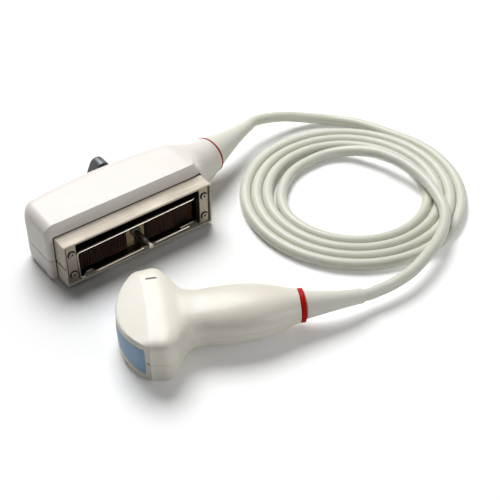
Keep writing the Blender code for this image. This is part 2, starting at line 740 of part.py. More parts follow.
def make_cable():
    spacing = 2 * CABLE_DIAMETER
    leaving = boot_exit(FRAME_NECK, CONNECTOR_BOOT_LENGTH, CONNECTOR_BOOT_BEND, CONNECTOR_RING_LENGTH)
    entering = boot_exit(FRAME_TAIL, HANDLE_BOOT_LENGTH, HANDLE_BOOT_BEND, HANDLE_RING_LENGTH)
    make_cable_run("cable_lead_connector", [*leaving, *LEAD_ROUTE], spacing)
    make_cable_run("cable_lead_probe", [*TAIL_ROUTE, *reversed(entering)], spacing)
    edge = CABLE_RADIUS
    profile = [(x + COIL_OUTER_RADIUS - edge, z + edge) for x, z in arc_points((0, 0), edge, 90, -90, 5)]
    inner = COIL_OUTER_RADIUS - COIL_BAND_WIDTH + edge
    profile += [(x + inner, z + edge) for x, z in arc_points((0, 0), edge, -90, -270, 5)]
    mesh = bpy.data.meshes.new("cable_coil")
    edges = [(k, (k + 1) % len(profile)) for k in range(len(profile))]
    mesh.from_pydata([(x, 0, z) for x, z in profile], edges, [])
    coil = add_object("cable_coil", mesh, CABLE_WHITE)
    coil.location = (*COIL_CENTRE, 0)
    screw = coil.modifiers.new("turning", "SCREW")
    screw.steps = 48
    screw.render_steps = 48
    screw.use_merge_vertices = True
    screw.merge_threshold = 0.00001
    screw.use_smooth_shade = True


# Connector housing

def corner_arc(centre, radius, start):
    """Six points round a corner, spaced so that four such corners also make a circle."""
    step = math.radians(7.5)
    reach = radius / math.cos(step)
    angles = [math.radians(start) + step * (2 * k + 1) for k in range(6)]
    return [(centre[0] + reach * math.cos(a), centre[1] + reach * math.sin(a)) for a in angles]


def corner_chamfer(corner, depth, height):
    """Six points along a flat chamfer, with its two ends just broken."""
    shares = (0.0, 0.06, 0.35, 0.65, 0.94, 1.0)
    return [(corner[0] + depth * (1 - s), corner[1] - height * s) for s in shares]


def housing_section(half_depth, bottom, top, roundness, inset):
    """Points of one section in (y, z), anticlockwise seen from the neck, rear top corner first.

    Roundness 0 is the housing's own section, and 1 is the neck's circle.
    """
    half_height = (top - bottom) / 2
    middle = (top + bottom) / 2
    full = min(half_depth, half_height)

    def radius(own):
        return min(full, max(0.0006, (own - inset) * (1 - roundness) + full * roundness))

    places = ((1, 1, REAR_TOP_RADIUS), (-1, 1, FRONT_CHAMFER_HEIGHT),
              (-1, -1, FRONT_BOTTOM_RADIUS), (1, -1, REAR_BOTTOM_RADIUS))
    points = []
    for k, (side, up, own) in enumerate(places):
        own_radius = radius(own)
        centre = (side * (half_depth - own_radius), up * (half_height - own_radius))
        arc = corner_arc(centre, own_radius, 90 * k)
        if k == 1:
            depth = min(FRONT_CHAMFER_DEPTH, half_depth)
            height = min(FRONT_CHAMFER_HEIGHT, half_height)
            chamfer = corner_chamfer((-half_depth, half_height), depth, height)
            share = ease(min(1, 5 * roundness))
            arc = [tuple(np.array(a) * share + np.array(c) * (1 - share)) for a, c in zip(arc, chamfer)]
        points += arc
    return [(y, z + middle) for y, z in points]


def back_at(x):
    """The housing's back face, bowed outwards in plan."""
    return HOUSING_BACK - BACK_BOW * (2 * x / SHROUD_LENGTH) ** 2


def cover_screw_places():
    """The four cover screws, as (x, y), a set distance inside the front and the bowed back."""
    x = HOUSING_HALF_LENGTH - COVER_SCREW_END_SETBACK
    rows = (HOUSING_FRONT + COVER_SCREW_FRONT_SETBACK, back_at(x) - COVER_SCREW_BACK_SETBACK)
    return [(side * x, y) for y in rows for side in (-1, 1)]


def corner_rest(distance, radius, inset):
    """How much a rounded corner still holds back its face at a distance from the end."""
    own = max(0.0006, radius - inset)
    return own * (1 - math.sqrt(1 - (1 - min(1, distance / own)) ** 2))


def body_sections(inset):
    """The housing from its rounded left end to the neck: rows of (x, front, back, bottom, top)."""
    rows = []
    for share in (0, 0.05, 0.18, 0.40, 0.68, 1):
        distance = share * max(END_CORNER_TOP, END_CORNER_BACK)
        x = -HOUSING_HALF_LENGTH + inset + distance
        rows.append((
            x,
            HOUSING_FRONT + inset + corner_rest(distance, END_CORNER_FRONT, inset),
            back_at(x) - inset - corner_rest(distance, END_CORNER_BACK, inset),
            inset + corner_rest(distance, END_CORNER_BOTTOM, inset),
            HOUSING_HEIGHT - inset - corner_rest(distance, END_CORNER_TOP, inset),
        ))
    first = rows[-1][0]
    for share in (0.2, 0.4, 0.6, 0.8):
        x = first + (HOUSING_STRAIGHT_END - first) * share
        rows.append((x, HOUSING_FRONT + inset, back_at(x) - inset, inset, HOUSING_HEIGHT - inset))
    return rows


def neck_path(share):
    """Where the housing's centreline runs as it turns into the round neck, and its heading."""
    start = np.array([HOUSING_STRAIGHT_END, 0.0])
    end = np.array(NECK_END)
    reach = np.linalg.norm(end - start)
    leaving = np.array([1.0, 0.0]) * reach
    arriving = np.array([math.cos(NECK_YAW), math.sin(NECK_YAW)]) * reach
    t = share
    place = ((2 * t**3 - 3 * t**2 + 1) * start + (t**3 - 2 * t**2 + t) * leaving
             + (3 * t**2 - 2 * t**3) * end + (t**3 - t**2) * arriving)
    return place, NECK_YAW * ease(t)


def housing_solid(name, inset, neck_extra):
    """The housing with its neck, or with an inset the hollow inside it."""
    rings = []
    for x, front, back, bottom, top in body_sections(inset):
        section = housing_section((back - front) / 2, bottom, top, 0, inset)
        rings.append([(x, y + (back + front) / 2, z) for y, z in section])
    radius = NECK_DIAMETER / 2
    own_back = back_at(HOUSING_STRAIGHT_END)
    shares, front_drops, back_drops = zip(*NECK_SHAPE)
    for share, front_drop, back_drop in zip(shares, front_drops, back_drops):
        place, heading = neck_path(share)
        blend = ease(share)
        front = HOUSING_FRONT * (1 - front_drop) - radius * front_drop + inset
        back = own_back * (1 - back_drop) + radius * back_drop - inset
        bottom = (NECK_HEIGHT - radius) * ease(max(0, share - BASE_FLAT_SHARE) / (1 - BASE_FLAT_SHARE)) + inset
        top = HOUSING_HEIGHT * (1 - blend) + (NECK_HEIGHT + radius) * blend - inset
        section = housing_section((back - front) / 2, bottom, top, blend, inset)
        across = [(y + (back + front) / 2, z) for y, z in section]
        rings.append([
            (place[0] - y * math.sin(heading), place[1] + y * math.cos(heading), z) for y, z in across
        ])
    if neck_extra:
        ahead = neck_extra * np.array([math.cos(NECK_YAW), math.sin(NECK_YAW), 0])
        rings.append([tuple(np.array(point) + ahead) for point in rings[-1]])
    count = len(rings[0])
    faces = tube_faces(len(rings), count)
    faces.append(tuple(reversed(range(count))))
    faces.append(tuple((len(rings) - 1) * count + k for k in range(count)))
    points = [point for ring in rings for point in ring]
    return add_object(name, mesh_from(name, points, faces), None, None, cutter=True)


def make_housing():
    hollow = housing_solid("housing_hollow", HOUSING_WALL, 0.004)
    window = box(
        "shroud_window",
        (-SHROUD_LENGTH / 2 - CLEARANCE, HOUSING_FRONT - 0.006, SHROUD_BOTTOM - CLEARANCE),
        (SHROUD_LENGTH / 2 + CLEARANCE, SHROUD_BACK + 0.0005, SHROUD_TOP + CLEARANCE),
        cutter=True,
    )
    bush_hole = cylinder(
        "bush_hole", BUSH_RADIUS + CLEARANCE, (0, HOUSING_BACK - 0.006, SHAFT_HEIGHT),
        (0, HOUSING_BACK + 0.006, SHAFT_HEIGHT), ROUND_STEPS, cutter=True,
    )
    for name, side in (("connector_cover_upper", 1), ("connector_cover_lower", -1)):
        cover = housing_solid(name, 0, 0)
        CUTTERS.objects.unlink(cover)
        PARTS.objects.link(cover)
        cover.hide_render = False
        cover.display_type = "TEXTURED"
        cover.data.materials.append(SHELL_WHITE)
        boolean(cover, hollow)
        plane = SEAM_HEIGHT + side * SEAM_GAP / 2
        reach = 2 * HOUSING_HALF_LENGTH
        low = (-reach, -reach, plane if side < 0 else -reach)
        high = (reach, reach, reach if side < 0 else plane)
        boolean(cover, box(name + "_other_half", low, high, cutter=True))
        boolean(cover, window)
        boolean(cover, bush_hole)
        for number, place in enumerate(cover_screw_places(), 1):
            if side > 0:
                add_boss(cover, number, place)
            else:
                add_screw_hole(cover, number, place)
        smooth_shading(cover, 30)


def add_boss(cover, number, place):
    """A screw boss that hangs from the upper cover down to the lower one's floor."""
    low = HOUSING_WALL + CLEARANCE
    high = HOUSING_HEIGHT - HOUSING_WALL / 2
    boss = cylinder(f"boss_{number}", BOSS_RADIUS, (*place, low), (*place, high), cutter=True)
    pilot_top = COVER_SCREW_HEAD_HEIGHT + COVER_SCREW_LENGTH + 4 * CLEARANCE
    pilot = cylinder(
        f"pilot_{number}", COVER_SCREW_RADIUS + CLEARANCE, (*place, 0), (*place, pilot_top), cutter=True
    )
    boolean(cover, boss, "UNION")
    boolean(cover, pilot)


def add_screw_hole(cover, number, place):
    depth = COVER_SCREW_HEAD_HEIGHT + 2 * CLEARANCE
    through = cylinder(
        f"screw_hole_{number}", COVER_SCREW_RADIUS + CLEARANCE, (*place, -0.002), (*place, 0.004), cutter=True
    )
    recess = cylinder(
        f"screw_recess_{number}", COVER_SCREW_HEAD_RADIUS + CLEARANCE, (*place, -0.002), (*place, depth),
        16, cutter=True,
    )
    boolean(cover, through)
    boolean(cover, recess)


def make_cover_screws():
    for number, place in enumerate(cover_screw_places(), 1):
        frame = add_frame(f"cover_screw_place_{number}", Matrix.Translation((*place, 0)))
        head_low = CLEARANCE
        head_high = head_low + COVER_SCREW_HEAD_HEIGHT
        top = head_high + COVER_SCREW_LENGTH
        name = f"cover_screw_{number}"
        profile = ((top, 0), (top, COVER_SCREW_RADIUS), (head_high, COVER_SCREW_RADIUS),
                   (head_high, COVER_SCREW_HEAD_RADIUS), (head_low, COVER_SCREW_HEAD_RADIUS), (head_low, 0))
        screw = turned(name, profile, STEEL, frame, steps=SMALL_STEPS, closed=False)
        screw.rotation_euler = (0, 0, 0)
        for turn in (0, 90):
            reach = Matrix.Rotation(math.radians(turn), 4, "Z") @ Vector((0.0017, 0.00035, 0))
            corner = (abs(reach.x), abs(reach.y))
            low = (-corner[0], -corner[1], -0.001)
            high = (corner[0], corner[1], head_low + 0.0005)
            boolean(screw, box(f"{name}_slot_{turn}", low, high, frame=frame, cutter=True))


# Shroud and socket

def make_shroud():
    """The nickel-plated frame round the socket, in two halves that meet at the housing's seam."""
    inner = box(
        "shroud_inner",
        (-SHROUD_LENGTH / 2 + SHROUD_WALL, SHROUD_FRONT - 0.01, SHROUD_BOTTOM + SHROUD_WALL),
        (SHROUD_LENGTH / 2 - SHROUD_WALL, SHROUD_BACK + 0.01, SHROUD_TOP - SHROUD_WALL),
        cutter=True,
    )
    for name, side in (("shroud_upper", 1), ("shroud_lower", -1)):
        half = box(
            name, (-SHROUD_LENGTH / 2, SHROUD_FRONT, SHROUD_BOTTOM), (SHROUD_LENGTH / 2, SHROUD_BACK, SHROUD_TOP),
            NICKEL,
        )
        bevel(half, 0.0004, 1)
        boolean(half, inner)
        plane = SEAM_HEIGHT + side * SEAM_GAP / 2
        reach = 2 * HOUSING_HALF_LENGTH
        low = (-reach, -reach, plane if side < 0 else -reach)
        high = (reach, reach, reach if side < 0 else plane)
        boolean(half, box(name + "_other_half", low, high, cutter=True))


def plate_screw_axes():
    """The four end-plate screws, as (x, z)."""
    return [(side * PLATE_CENTRE, height) for side in (-1, 1) for height in PLATE_SCREW_HEIGHTS]


def make_end_plates():
    low_z = SHROUD_BOTTOM + SHROUD_WALL + CLEARANCE
    high_z = SHROUD_TOP - SHROUD_WALL - CLEARANCE
    for name, side in (("end_plate_left", -1), ("end_plate_right", 1)):
        middle = side * PLATE_CENTRE
        low = (middle - END_PLATE_WIDTH / 2, PLATE_FRONT, low_z)
        high = (middle + END_PLATE_WIDTH / 2, PLATE_BACK, high_z)
        plate = box(name, low, high, NICKEL)
        for x, z in plate_screw_axes():
            if x * side > 0:
                hole = cylinder(
                    f"{name}_hole_{round(z * 10000)}", PLATE_SCREW_RADIUS + CLEARANCE,
                    (x, PLATE_FRONT - 0.002, z), (x, PLATE_BACK + 0.002, z), cutter=True,
                )
                boolean(plate, hole)


def make_plate_screws():
    head_back = PLATE_FRONT - CLEARANCE
    head_front = head_back - PLATE_SCREW_HEAD_HEIGHT
    end = head_back + PLATE_SCREW_LENGTH
    for number, (x, z) in enumerate(plate_screw_axes(), 1):
        name = f"end_plate_screw_{number}"
        frame = add_frame(f"{name}_place", Matrix.Translation((x, 0, z)))
        profile = ((end, 0), (end, PLATE_SCREW_RADIUS), (head_back, PLATE_SCREW_RADIUS),
                   (head_back, PLATE_SCREW_HEAD_RADIUS), (head_front, PLATE_SCREW_HEAD_RADIUS),
                   (head_front, 0))
        screw = turned(name, profile, STEEL, frame, along="Y", steps=16, closed=False)
        for turn in (0, 90):
            long, short = 0.0013, 0.00025
            across = (long, short) if turn == 0 else (short, long)
            low = (-across[0], head_front - 0.001, -across[1])
            high = (across[0], head_front + 0.0004, across[1])
            boolean(screw, box(f"{name}_slot_{turn}", low, high, frame=frame, cutter=True))


def make_insulator():
    """The black moulding that fills the shroud and carries everything in the socket."""
    gap = CLEARANCE
    half_length = SHROUD_LENGTH / 2 - SHROUD_WALL - gap
    back = SHROUD_BACK - gap
    body = box(
        "socket_insulator", (-half_length, PLATE_BACK + gap, SHROUD_BOTTOM + SHROUD_WALL + gap),
        (half_length, back, SHROUD_TOP - SHROUD_WALL - gap), INSULATOR_BLACK,
    )
    socket = box(
        "socket_space", (-SOCKET_HALF_LENGTH, SHROUD_FRONT - 0.005, 0), (SOCKET_HALF_LENGTH, SOCKET_FLOOR, 0.05),
        cutter=True,
    )
    boolean(body, socket)
    shaft_way = cylinder(
        "insulator_shaft_way", SHAFT_RADIUS + CLEARANCE, (0, SOCKET_FLOOR - 0.004, SHAFT_HEIGHT),
        (0, back + 0.004, SHAFT_HEIGHT), ROUND_STEPS, cutter=True,
    )
    boolean(body, shaft_way)
    screw_end = PLATE_FRONT + PLATE_SCREW_LENGTH + CLEARANCE
    for number, (x, z) in enumerate(plate_screw_axes(), 1):
        hole = cylinder(
            f"insulator_screw_hole_{number}", PLATE_SCREW_RADIUS + CLEARANCE, (x, SHROUD_FRONT, z),
            (x, screw_end, z), cutter=True,
        )
        boolean(body, hole)


def rounded_rectangle(half_length, low, high, radius, steps):
    points = []
    places = ((1, high - radius, 0), (-1, high - radius, 90), (-1, low + radius, 180), (1, low + radius, 270))
    for side, z, start in places:
        points += arc_points((side * (half_length - radius), z), radius, start, start + 90, steps)
    return points


def make_plug_shell():
    """The thin rim round the contacts, with two keying notches in its lower wall."""
    front = SHROUD_FRONT + PLUG_SHELL_INSET
    back = SOCKET_FLOOR - CLEARANCE
    half_length = PLUG_SHELL_HALF_LENGTH
    low, high = PLUG_SHELL_BOTTOM, PLUG_SHELL_BOTTOM + PLUG_SHELL_HEIGHT
    wall = PLUG_SHELL_WALL
    outer = rounded_rectangle(half_length, low, high, PLUG_SHELL_CORNER, 4)
    inner = rounded_rectangle(half_length - wall, low + wall, high - wall, PLUG_SHELL_CORNER - wall, 4)
    shell = flat_outline("plug_shell", outer, back - front, STEEL, holes=[inner])
    shell.rotation_euler = (math.pi / 2, 0, 0)
    shell.location = (0, (front + back) / 2, 0)
    places = (LEFT_NOTCH_SETBACK - half_length, half_length - RIGHT_NOTCH_SETBACK)
    for number, x in enumerate(places, 1):
        notch = box(
            f"key_notch_{number}", (x - NOTCH_WIDTH / 2, front - 0.002, low - 0.002),
            (x + NOTCH_WIDTH / 2, front + NOTCH_DEPTH, low + 0.002), cutter=True,
        )
        boolean(shell, notch)


def make_contact_blocks():
    """Two black blocks with a row of contact slots each, one on either side of the shaft."""
    gap = CLEARANCE
    inner = CENTRE_WIDTH / 2 + gap
    outer = PLUG_SHELL_HALF_LENGTH - PLUG_SHELL_WALL - gap
    low_z = PLUG_SHELL_BOTTOM + PLUG_SHELL_WALL + gap
    high_z = PLUG_SHELL_BOTTOM + PLUG_SHELL_HEIGHT - PLUG_SHELL_WALL - gap
    back = SOCKET_FLOOR - gap
    front = back - CONTACT_HEIGHT
    for name, side in (("contact_block_left", -1), ("contact_block_right", 1)):
        ends = sorted((side * inner, side * outer))
        block = box(name, (ends[0], front, low_z), (ends[1], back, high_z), INSULATOR_BLACK)
        bevel(block, 0.0012, 1)
        middle = sum(ends) / 2
        for number in range(CONTACT_SLOTS):
            x = middle + (number - (CONTACT_SLOTS - 1) / 2) * SLOT_PITCH
            slot = box(
                f"{name}_slot_{number + 1}", (x - SLOT_WIDTH / 2, front - 0.001, low_z + SLOT_MARGIN),
                (x + SLOT_WIDTH / 2, front + SLOT_DEPTH, high_z - SLOT_MARGIN), cutter=True,
            )
            boolean(block, slot)


def make_centre_guide():
    """The brass plate between the contact blocks, which steadies the locking shaft."""
    half = CENTRE_WIDTH / 2
    low_z = PLUG_SHELL_BOTTOM + PLUG_SHELL_WALL + CLEARANCE
    high_z = PLUG_SHELL_BOTTOM + PLUG_SHELL_HEIGHT - PLUG_SHELL_WALL - CLEARANCE
    back = SOCKET_FLOOR - CLEARANCE
    guide = box("centre_guide", (-half, back - GUIDE_THICKNESS, low_z), (half, back, high_z), BRASS)
    way = cylinder(
        "guide_shaft_way", SHAFT_RADIUS + CLEARANCE, (0, back - 0.01, SHAFT_HEIGHT),
        (0, back + 0.01, SHAFT_HEIGHT), ROUND_STEPS, cutter=True,
    )
    boolean(guide, way)


def make_termination_boards():
    """Two circuit boards behind the contacts, where the cable's cores are soldered."""
    front = SHROUD_BACK
    low_z = SHROUD_BOTTOM + SHROUD_WALL + 5 * CLEARANCE
    high_z = SHROUD_TOP - SHROUD_WALL - 5 * CLEARANCE
    for name, side in (("termination_board_left", -1), ("termination_board_right", 1)):
        ends = sorted((side * (CENTRE_WIDTH / 2 + 0.001), side * (SOCKET_HALF_LENGTH - 0.0015)))
        box(name, (ends[0], front, low_z), (ends[1], front + BOARD_THICKNESS, high_z), BOARD_GREEN)


def make_connector_clamp():
    """The block that grips the cable inside the housing, standing on the lower cover's floor."""
    bottom = HOUSING_WALL + CLEARANCE
    top = NECK_HEIGHT + BORE_RADIUS + 0.002
    half = 0.8 * CLAMP_LENGTH
    side = BORE_RADIUS + 0.0023
    x = HOUSING_HALF_LENGTH - COVER_SCREW_END_SETBACK - BOSS_RADIUS - CLEARANCE - half
    clamp = box("connector_cable_clamp", (x - half, -side, bottom), (x + half, side, top), STEEL)
    bevel(clamp, 0.0008, 1)
    bore = cylinder(
        "clamp_bore", BORE_RADIUS, (x - 2 * half, 0, NECK_HEIGHT), (x + 2 * half, 0, NECK_HEIGHT), ROUND_STEPS,
        cutter=True,
    )
    boolean(clamp, bore)


# Lock

def clip_place():
    """Where the retaining clip lies, hard behind the bush's flange."""
    flange = HOUSING_BACK - HOUSING_WALL - CLEARANCE - BUSH_FLANGE_THICKNESS
    return flange - CLEARANCE - CLIP_THICKNESS, flange - CLEARANCE


def make_lock_shaft(frame):
    """The turning shaft: a thin stud in front, the main journal, and a groove for its clip."""
    tip = SHROUD_FRONT - STUD_REACH
    step = SOCKET_FLOOR - CLEARANCE - GUIDE_THICKNESS - CLEARANCE
    clip_low, clip_high = clip_place()
    groove = SHAFT_RADIUS - CLIP_GROOVE_DEPTH
    back = HOUSING_BACK + CLEARANCE + KNOB_HUB_DEPTH * 0.75
    profile = (
        (back, 0), (back, SHAFT_RADIUS), (clip_high + CLEARANCE, SHAFT_RADIUS), (clip_high + CLEARANCE, groove),
        (clip_low - CLEARANCE, groove), (clip_low - CLEARANCE, SHAFT_RADIUS), (step, SHAFT_RADIUS),
        (step, STUD_RADIUS), (tip + TIP_LENGTH, STUD_RADIUS), (tip + 0.8 * TIP_LENGTH, TIP_RADIUS),
        (tip + 0.2 * TIP_LENGTH, TIP_RADIUS), (tip, TIP_RADIUS * 0.6), (tip, 0),
    )
    shaft = turned("lock_shaft", profile, STEEL, frame, along="Y", steps=16, closed=False)
    middle = tip + TIP_LENGTH / 2
    way = cylinder(
        "cross_pin_way", PIN_RADIUS + CLEARANCE, (-0.005, middle, 0), (0.005, middle, 0), frame=frame, cutter=True
    )
    boolean(shaft, way)
    pin = cylinder(
        "lock_cross_pin", PIN_RADIUS, (-PIN_LENGTH / 2, middle, 0), (PIN_LENGTH / 2, middle, 0),
        material=STEEL, frame=frame,
    )
    smooth_shading(pin)


def make_shaft_clip(frame):
    """A C-shaped spring clip in the shaft's groove."""
    low, high = clip_place()
    inner = SHAFT_RADIUS - CLIP_GROOVE_DEPTH + CLEARANCE
    outline = arc_points((0, 0), CLIP_OUTER_RADIUS, -60, 240, 18) + arc_points((0, 0), inner, 240, -60, 18)
    clip = flat_outline("shaft_clip", outline, high - low, STEEL, frame)
    clip.rotation_euler = (math.pi / 2, 0, 0)
    clip.location = (0, (low + high) / 2, 0)


def make_shaft_bush():
    """The flanged bush in the housing's rear wall, split by neither cover."""
    frame = bpy.data.objects["lock_axis"]
    front = HOUSING_BACK - HOUSING_WALL - CLEARANCE - BUSH_FLANGE_THICKNESS
    step = HOUSING_BACK - HOUSING_WALL - CLEARANCE
    bore = SHAFT_RADIUS + RUNNING_CLEARANCE
    profile = ((HOUSING_BACK, bore), (HOUSING_BACK, BUSH_RADIUS), (step, BUSH_RADIUS),
               (step, BUSH_FLANGE_RADIUS), (front, BUSH_FLANGE_RADIUS), (front, bore))
    turned("shaft_bush", profile, BRASS, frame, along="Y")


def make_lock_knob(frame):
    """The locking knob behind the housing: a round hub with one upright lever."""
    front = HOUSING_BACK + CLEARANCE
    back = front + KNOB_HUB_DEPTH
    edge = 0.0012
    profile = ((back, 0), (back, KNOB_HUB_RADIUS - edge), (back - edge, KNOB_HUB_RADIUS),
               (front + edge / 2, KNOB_HUB_RADIUS), (front, KNOB_HUB_RADIUS - edge / 2), (front, 0))
    knob = turned("lock_knob", profile, KNOB_GREY, frame, along="Y", steps=24, closed=False)
    root = KNOB_HUB_RADIUS * 0.8
    tip_centre = KNOB_REACH - KNOB_TIP_RADIUS
    outline = arc_points((0, tip_centre), KNOB_TIP_RADIUS, 0, 180, 8) + [(-root, 0), (root, 0)]
    lever = flat_outline("knob_lever", outline, KNOB_DEPTH, None, frame, cutter=True)
    lever.rotation_euler = (math.pi / 2, KNOB_LEAN, 0)
    lever.location = (0, front + KNOB_DEPTH / 2, 0)
    bevel(lever, 0.0011, 2)
    boolean(knob, lever, "UNION")
    slope = box(
        "knob_slope", (-0.03, 0, -0.012), (0.03, 0.02, 0.05), frame=frame, cutter=True
    )
    slope.rotation_euler = (math.radians(17), 0, 0)
    slope.location = (0, front + KNOB_DEPTH * 0.98, 0.006)
    boolean(knob, slope)
    socket_end = front + KNOB_HUB_DEPTH * 0.75 + CLEARANCE
    socket = cylinder(
        "knob_socket", SHAFT_RADIUS + CLEARANCE, (0, front - 0.004, 0), (0, socket_end, 0), ROUND_STEPS,
        frame=frame, cutter=True,
    )
    boolean(knob, socket)


def build():
    handpiece = add_frame("handpiece", FRAME_HANDPIECE)
    tail = add_frame("handle_tail", FRAME_TAIL)
    neck = add_frame("connector_neck", FRAME_NECK)
    lock = add_frame("lock_axis", FRAME_LOCK)
    bpy.context.view_layer.update()

    make_handle_shells(handpiece)
    make_mark(handpiece)
    make_array(handpiece)
    make_flex_circuits(handpiece)
    make_interconnect_board(handpiece)
    make_handle_clamp(handpiece)

    handle_spigot = TAIL_DIAMETER / 2 - HANDLE_WALL - CLEARANCE
    make_ring("handle_ring", RING_RED, tail, HANDLE_RING_DIAMETER / 2, handle_spigot + CLEARANCE, HANDLE_RING_LENGTH)
    make_boot("handle_boot", tail, HANDLE_BOOT_DIAMETER, HANDLE_BOOT_LENGTH, HANDLE_BOOT_BEND, handle_spigot,
              HANDLE_RING_LENGTH)
    neck_spigot = NECK_DIAMETER / 2 - HOUSING_WALL - CLEARANCE
    make_ring("connector_ring", RING_DARK_RED, neck, NECK_DIAMETER / 2, neck_spigot + CLEARANCE,
              CONNECTOR_RING_LENGTH)
    make_boot("connector_boot", neck, CONNECTOR_BOOT_DIAMETER, CONNECTOR_BOOT_LENGTH, CONNECTOR_BOOT_BEND,
              neck_spigot, CONNECTOR_RING_LENGTH)
    make_cable()

    make_housing()
    make_cover_screws()
    make_shroud()
    make_end_plates()
    make_plate_screws()
    make_insulator()
    make_plug_shell()
    make_contact_blocks()
    make_centre_guide()
    make_termination_boards()
    make_connector_clamp()

    make_lock_shaft(lock)
    make_shaft_clip(lock)
    make_shaft_bush()
    make_lock_knob(lock)


build()
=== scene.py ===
# Looks for a convex ultrasound probe: handpiece, coiled cable and connector on a white table.
import math

import bmesh
import bpy
import numpy as np
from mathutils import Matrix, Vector


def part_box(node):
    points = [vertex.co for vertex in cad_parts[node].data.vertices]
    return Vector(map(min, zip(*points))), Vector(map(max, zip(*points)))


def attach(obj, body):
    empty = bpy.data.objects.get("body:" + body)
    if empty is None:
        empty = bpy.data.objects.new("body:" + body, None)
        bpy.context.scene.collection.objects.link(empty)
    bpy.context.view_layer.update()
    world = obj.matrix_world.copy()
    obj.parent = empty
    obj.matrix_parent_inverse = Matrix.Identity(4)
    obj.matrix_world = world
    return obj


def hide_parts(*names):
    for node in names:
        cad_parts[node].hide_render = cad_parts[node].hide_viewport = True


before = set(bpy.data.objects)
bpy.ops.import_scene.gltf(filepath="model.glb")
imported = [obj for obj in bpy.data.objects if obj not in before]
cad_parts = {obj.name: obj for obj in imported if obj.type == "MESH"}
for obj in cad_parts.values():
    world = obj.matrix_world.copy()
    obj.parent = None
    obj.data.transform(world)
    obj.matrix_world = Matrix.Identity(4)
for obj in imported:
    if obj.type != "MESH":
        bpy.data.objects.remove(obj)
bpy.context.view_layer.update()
print("frame loaded:", len(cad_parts), "nodes")

# The view: the connector lies squarely to the axes, and the picture is taken from its left front.
viewpoint = {
    "place": (-0.2717, -0.5158, 0.4851), "lookAt": (0.0583, -0.0682, 0.0), "lens": 82.8, "sensor": 36.0,
    "nearest": 0.01,
}

cameraData = bpy.data.cameras.new("photoCamera")
cameraData.lens = viewpoint["lens"]
cameraData.sensor_width = viewpoint["sensor"]
cameraData.clip_start = viewpoint["nearest"]
camera = bpy.data.objects.new("photoCamera", cameraData)
camera.location = viewpoint["place"]
lineOfSight = Vector(viewpoint["lookAt"]) - Vector(viewpoint["place"])
camera.rotation_euler = lineOfSight.to_track_quat("-Z", "Y").to_euler()
bpy.context.scene.collection.objects.link(camera)
bpy.context.scene.camera = camera


# Placing and building

handpiecePlace = {"nose": (-0.0548, -0.0921, 0.0155), "yaw": math.radians(-26.3)}
neckPlace = {"end": (0.0787, 0.008, 0.021), "yaw": math.radians(15.0)}
handleLength = 0.1068
shaftHeight = 0.016   # the lock's axis above the table


def placed(points, origin, yaw):
    # turns points about Z by yaw, then moves them to the origin given
    c, s = math.cos(yaw), math.sin(yaw)
    x, y, z = points[..., 0], points[..., 1], points[..., 2]
    return np.stack([c * x - s * y + origin[0], s * x + c * y + origin[1], z + origin[2]], axis=-1)


def onHandpiece(points):
    return placed(points, handpiecePlace["nose"], handpiecePlace["yaw"])


def onHandleTail(points):
    return onHandpiece(points + np.array([handleLength, 0.0, 0.0]))


def onNeck(points):
    return placed(points, neckPlace["end"], neckPlace["yaw"])


def meshPiece(name, vertices, faces, material, body="probe", sharpAngle=40.0):
    mesh = bpy.data.meshes.new(name)
    mesh.from_pydata(np.asarray(vertices).reshape(-1, 3).tolist(), [], [list(f) for f in faces])
    mesh.update()
    mesh.shade_smooth()
    mesh.set_sharp_from_angle(angle=math.radians(sharpAngle))
    mesh.materials.append(material)
    piece = bpy.data.objects.new(name, mesh)
    bpy.context.scene.collection.objects.link(piece)
    if body:
        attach(piece, body)
    return piece


def gridFaces(rows, columns, closedRows=False, closedColumns=True):
    # quads between neighbouring rows and columns of a grid; a closed direction joins its end to its start
    i = np.arange(rows if closedRows else rows - 1)
    j = np.arange(columns if closedColumns else columns - 1)
    i, j = np.meshgrid(i, j, indexing="ij")
    up, across = (i + 1) % rows, (j + 1) % columns
    quads = np.stack([i * columns + j, i * columns + across, up * columns + across, up * columns + j], axis=-1)
    return quads.reshape(-1, 4).tolist()


def cubic(t, start, leaving, end, arriving):
    # from start to end as t runs from 0 to 1, with the slopes given at both
    return ((2 * t**3 - 3 * t**2 + 1) * start + (t**3 - 2 * t**2 + t) * leaving
            + (3 * t**2 - 2 * t**3) * end + (t**3 - t**2) * arriving)


def hermite(places, values, samples):
    # cubic curve through the values at the rising places, with slopes from their neighbours
    places, values = np.asarray(places, float), np.asarray(values, float)
    samples = np.asarray(samples, float)
    if values.ndim == 1:
        return hermite(places, values[:, None], samples)[:, 0]
    slopes = np.gradient(values, places, axis=0)
    k = np.clip(np.searchsorted(places, samples, side="right") - 1, 0, len(places) - 2)
    span = (places[k + 1] - places[k])[:, None]
    t = ((samples - places[k]) / span[:, 0])[:, None]
    return cubic(t, values[k], span * slopes[k], values[k + 1], span * slopes[k + 1])


def smoothPath(points, spacing):
    # points about the spacing apart on a smooth curve through the ones given
    points = np.asarray(points, float)
    along = np.hstack([[0.0], np.cumsum(np.linalg.norm(np.diff(points, axis=0), axis=1))])
    count = int(round(along[-1] / spacing)) + 1
    return hermite(along, points, np.linspace(0, along[-1], count))


def aroundAngles(sides):
    return np.linspace(0, 2 * np.pi, sides, endpoint=False)


def circlesAlong(path, ahead, radii, sides):
    # a circle for each point of the path, square to the direction ahead there, its first spoke level with the table
    forward = ahead / np.linalg.norm(ahead, axis=1)[:, None]
    across = np.cross(np.array([0.0, 0.0, 1.0]), forward)
    across /= np.linalg.norm(across, axis=1)[:, None]
    above = np.cross(forward, across)
    angle = aroundAngles(sides)
    spokes = np.cos(angle)[None, :, None] * across[:, None, :] + np.sin(angle)[None, :, None] * above[:, None, :]
    return path[:, None, :] + spokes * np.asarray(radii).reshape(-1, 1, 1)


